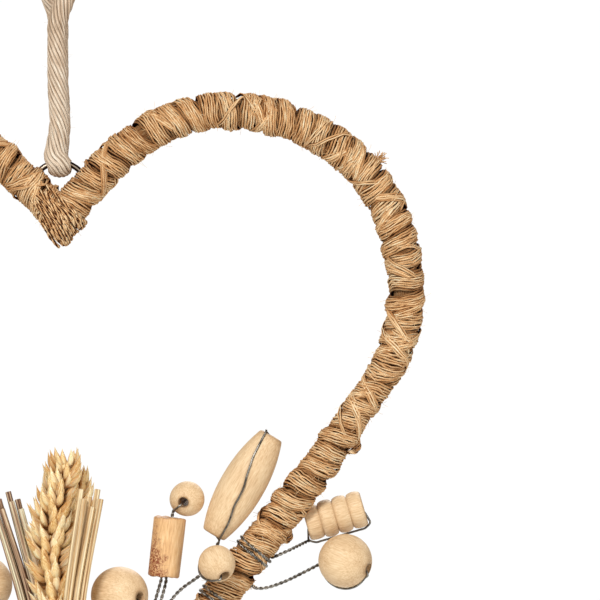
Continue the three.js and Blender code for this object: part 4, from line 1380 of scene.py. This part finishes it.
# %% Straws
STRAW_RADIUS = 0.9
STRAW_PITCH = 2.15
STRAW_FOOT = -17
FOOT_FLARE = 1.5
FOOT_SPREAD = 0.25
BUNCH_HEIGHT = 24
FAN_HEIGHT = 64.4


def row_forward(row):
    return WRAP_RADIUS + WRAP_BUMP + CLEAR + STRAW_RADIUS + row * STRAW_PITCH


def straw_mesh(name, line, radius, material, seed):
    """A closed tube with ribs, one joint and a hollow upper end."""
    rng = np.random.default_rng(seed)
    spots = smooth_line(line, 3.0)
    joint = rng.uniform(0.3, 0.6) * len(spots)
    sides = 12
    tint = rng.uniform(0, 1)
    furrows = [rng.uniform(0.25, 0.8) if j % 2 else 0.0 for j in range(sides)]
    shape = bmesh.new()
    grain = shape.verts.layers.float_vector.new("grain")
    tone = shape.verts.layers.float.new("tint")
    hollow = shape.verts.layers.float.new("hollow")
    rings = []
    stations = [(i, 1.0 + 0.12 * math.exp(-((i - joint) / 0.8) ** 2)) for i in range(len(spots))]
    last = len(spots) - 1
    stations += [(last + 0.05, 0.86), (last, 0.6), (last - 1, 0.56), (last - 2, 0.55)]
    offset = rng.uniform(0, 1) * 0.2
    up = Vector((0, 1, 0))
    for index, scale in stations:
        i = min(int(index), last)
        here = spots[i] + (spots[last] - spots[last - 1]) * (index - i)
        heading = (spots[min(i + 1, last)] - spots[max(i - 1, 0)]).normalized()
        across = heading.cross(up).normalized()
        front = across.cross(heading)
        ring = []
        for j in range(sides):
            a = 2 * math.pi * j / sides
            r = radius * scale * (1 + 0.045 * (-1) ** j)
            x, y = r * math.cos(a), r * math.sin(a)
            vert = shape.verts.new((here + across * x + front * y) * MM)
            vert[grain] = Vector((here.z * MM + offset, x * MM + offset, y * MM))
            vert[tone] = tint
            # Painted shade: full inside the cut end, and a random amount in the furrow of every other side.
            vert[hollow] = 1.0 if scale < 0.7 else furrows[j]
            ring.append(vert)
        rings.append(ring)
    return skinned(name, shape, rings, material)


def fan(word, material, rows, columns, aside, forward, middle_x, middle_pitch, top_x, top_pitch, height):
    """A bunch of straws that spreads upwards, in rows one behind the other."""
    number = 0
    for r, row in enumerate(rows):
        for i in range(columns):
            number += 1
            ahead = forward + r * STRAW_PITCH
            shift = i + 0.4 * r
            x = (i - (columns - 1) / 2 + aside) * STRAW_PITCH
            deep = row_forward(row)
            line = [
                TIP + Vector(((1 + FOOT_SPREAD) * x, -deep - FOOT_FLARE, STRAW_FOOT)),
                TIP + Vector((x, -deep, 0)),
                TIP + Vector((x, -deep, BUNCH_HEIGHT)),
                TIP + Vector((middle_x + shift * middle_pitch, -ahead, FAN_HEIGHT)),
                TIP + Vector((top_x + shift * top_pitch, -ahead, height - 2.4 * (i % 2) - 3 * r)),
            ]
            name = f"straw_{word}_{number}"
            stalk = straw_mesh(name, line, STRAW_RADIUS, material, 70 + number * 3 + len(word))
            piece(f"{name}_stalk", [stalk], "straw", name)


fan("left", grey_straw, [0, 1], 4, 0, 1.4, -13.2, 1.1 * STRAW_PITCH, -23.2, 1.4 * STRAW_PITCH, 99)
fan("right", pale_straw, [3, 4], 3, 0.7, 19.1, 2.2, 1.02 * STRAW_PITCH, 7.0, 1.2 * STRAW_PITCH, 100.5)

# %% [markdown]
# A wheat ear is a plait of husks: at each step up the stem a few boat-shaped husks lean out to the
# left, the right and the front, each with a keel and a drawn-out point. One husk is modelled, and
# a tree sets it all along the stem, smaller towards the top, with a random turn for each.

# %% Wheat ears


def husk_object():
    """One husk of unit length along +Z, with its back to +X: a pointed boat with a keel."""
    shape = bmesh.new()
    grain = shape.verts.layers.float_vector.new("grain")
    hollow = shape.verts.layers.float.new("hollow")
    rings = []
    for t in np.linspace(0, 1, 10):
        width = 0.18 * math.sin(math.pi * min(1, t * 0.88 + 0.1)) ** 0.8 * (1 - t ** 4) + 0.006
        thick = 0.6 * width
        bow = 0.10 * math.sin(math.pi * t) - 0.05 * t
        foot = 0.85 * float(1 - smoothstep(t, 0.03, 0.34))
        ring = []
        for j in range(8):
            a = 2 * math.pi * j / 8
            keel = 1 + 0.35 * max(0, math.cos(a)) ** 6
            spot = Vector((bow + thick * keel * math.cos(a), width * math.sin(a), t))
            vert = shape.verts.new(spot)
            vert[grain] = Vector((spot.z, spot.x, spot.y)) * 0.012
            # Painted shade at the husk's foot, where it sits among the others, and towards its sides, which
            # leaves the keel light.
            vert[hollow] = max(foot, 0.75 * abs(math.sin(a)) ** 4)
            ring.append(vert)
        rings.append(ring)
    return new_object("husk", skinned("husk", shape, rings))


def ear_tree():
    graph, given, out = geometry_tree("wheat ear", [
        ("Husk", "Object", None), ("Levels", "Int", 18), ("Husks", "Int", 6),
        ("Length", "Float", 0.013), ("Lean", "Float", 0.5), ("Standoff", "Float", 0.0012),
        ("Seed", "Int", 0), ("Material", "Material", None),
    ])
    plus, times, scaled = graph.plus, graph.times, graph.scaled
    value = given.outputs
    curve = graph.add("GeometryNodeMeshToCurve", {0: value["Geometry"]}).outputs[0]
    points = graph.add("GeometryNodeCurveToPoints", {"Curve": curve, "Count": value["Levels"]},
                       mode="COUNT").outputs["Points"]
    marked = keep(graph, points, "level", graph.add("GeometryNodeInputIndex").outputs[0])
    copies = graph.add("GeometryNodeDuplicateElements", {"Geometry": marked, "Amount": value["Husks"]},
                       domain="POINT")
    number = copies.outputs["Duplicate Index"]
    level = kept(graph, "level")
    climb = graph.math("DIVIDE", level, value["Levels"])
    odd = graph.math("MODULO", level, 2.0)

    def random(low, high, salt):
        node = graph.add("FunctionNodeRandomValue", {2: low, 3: high}, data_type="FLOAT")
        graph.put(node.inputs["Seed"], plus(value["Seed"], float(salt)))
        return node.outputs[1]

    # Round the stem: an even share of a turn between husks, and a little more between levels.
    turns = plus(graph.math("DIVIDE", number, value["Husks"]), times(odd, 0.085))
    azimuth = scaled(turns, 2 * math.pi, random(-0.55, 0.55, 1))

    # Husks at the sides lean out further than those in front, so that the ear is wide and flat.
    wide = graph.math("ABSOLUTE", graph.math("COSINE", azimuth))
    lean = times(value["Lean"], scaled(wide, 0.5, 0.62))
    swell = times(climb, graph.minus(1.0, climb), 1.8)
    lean = plus(times(lean, plus(swell, 0.52)), random(-0.28, 0.28, 2))
    radial = graph.combine(graph.math("COSINE", azimuth), graph.math("SINE", azimuth))
    pointing = graph.vector("ADD", graph.vector("SCALE", radial, graph.math("SINE", lean)),
                            graph.vector("SCALE", (0.0, 0.0, 1.0), graph.math("COSINE", lean)))
    turn = graph.add("FunctionNodeAxesToRotation", {"Primary Axis": pointing, "Secondary Axis": radial},
                     primary_axis="Z", secondary_axis="X").outputs[0]

    # Smaller towards the top, and further from the stem at the sides.
    shrink = graph.minus(1.0, times(0.34, graph.math("POWER", climb, 3.0)))
    size = times(value["Length"], shrink, random(0.86, 1.12, 3))
    out_by = times(value["Standoff"], scaled(wide, 1.0, 0.55))
    placed = graph.add("GeometryNodeSetPosition", {
        "Geometry": copies.outputs[0], "Offset": graph.vector("SCALE", radial, out_by)}).outputs[0]
    shape = graph.add("GeometryNodeObjectInfo", {"Object": value["Husk"]}, transform_space="ORIGINAL")
    husks = graph.add("GeometryNodeInstanceOnPoints", {
        "Points": placed, "Instance": shape.outputs["Geometry"], "Rotation": turn,
        "Scale": size}).outputs[0]
    tinted = keep(graph, husks, "tint", random(0.0, 1.0, 4), domain="INSTANCE")
    return put_out(graph, realized(graph, tinted), value["Material"], out)


ears = ear_tree()
husk_shape = husk_object()


def ear(name, node, spine, stalk, levels, length, lean, seed):
    """An ear along its spine, with the top of its stalk in it."""
    values = {"Husk": husk_shape, "Levels": levels, "Husks": 8, "Length": length * MM, "Lean": lean,
              "Standoff": 1.3 * MM, "Seed": seed, "Material": husk}
    husks = grown_mesh(line_object("spine", [smooth_line(spine, 2.0)]), ears, values)
    stem = straw_mesh(name, stalk + spine[:2], 1.0, husk, seed)
    piece(name, [husks, stem], "wheat", node)


bunch = row_forward(2)


def stalk_foot(column):
    x = column * STRAW_PITCH
    return [TIP + Vector(((1 + FOOT_SPREAD) * x, -bunch - FOOT_FLARE, STRAW_FOOT)),
            TIP + Vector((x, -bunch, 0)), TIP + Vector((x, -bunch, BUNCH_HEIGHT))]


def above_tip(*places):
    return [TIP + Vector(place) for place in places]


front_spine = above_tip((-0.2, -11.4, 38), (-1.0, -11.2, 62), (-2.9, -10.9, 86), (-0.6, -10.7, 98),
                        (2.0, -10.5, 107.2))
ear("wheat_ear_front_husks", "wheat_ear_front", front_spine, stalk_foot(-0.5), 33, 9.8, 0.78, 5)
back_spine = above_tip((3.0, -4.2, 74), (3.7, -4.3, 90), (4.2, -4.4, 101))
back_stalk = stalk_foot(1.9) + above_tip((5.8, -7.6, BUNCH_HEIGHT + 13), (5.4, -3.6, BUNCH_HEIGHT + 29))
ear("wheat_ear_back_husks", "wheat_ear_back", back_spine, back_stalk, 15, 9.6, 0.46, 6)
bpy.data.objects.remove(husk_shape)

# %% [markdown]
# String is pulled tight round the tip and all the stems, turn beside turn. Its line is worked out
# as the tightest loop round what it holds, and climbs from one turn to the next.

# %% The binding
BINDING_LOW = -7.0
BINDING_HIGH = 1.5
STRING_RADIUS = 0.85


def bound_circles(height):
    """What the string goes round at a height above the tip: the winding and the rows of straws."""
    half = (height + WRAP_RADIUS / math.sin(SIDE_LEAN)) * math.tan(SIDE_LEAN)
    circles = []
    for side in (-1, 1):
        circles.append((side * max(0, half - 0.6 * WRAP_RADIUS), 0, WRAP_RADIUS + WRAP_BUMP))
        for columns, row, extra in ((4, 0, 0), (4.8, 2, FOOT_FLARE / 2), (4.4, 4, FOOT_FLARE / 2)):
            x = side * (1 + FOOT_SPREAD / 2) * (columns - 1) / 2 * STRAW_PITCH
            circles.append((x, row_forward(row) + extra, STRAW_RADIUS))
    return circles


def string_line(turns):
    points = []
    steps = 40
    climb = BINDING_HIGH - BINDING_LOW - 2 * STRING_RADIUS
    for i in range(turns * steps + 1):
        a = 2 * math.pi * i / steps
        height = BINDING_LOW + STRING_RADIUS + climb * i / (turns * steps)
        dx, dy = math.cos(a), math.sin(a)
        x, forward, radius = max(bound_circles(height), key=lambda c: c[0] * dx - c[1] * dy + c[2])
        radius += 2 * CLEAR + STRING_RADIUS + 0.1
        points.append(TIP + Vector((x + radius * dx, -forward + radius * dy, height)))
    return points


string_mesh = laid([string_line(5)], jute, 3, STRING_RADIUS * 0.52, 7, STRING_RADIUS * 0.5, 0.8, 6,
                   unevenness=0.15, seed=4)
string_hairs = fuzz([string_mesh], jute, 0.03, 3.5, 0.04, 31)
piece("string_binding", [string_mesh, string_hairs], "jute", "stem_binding")
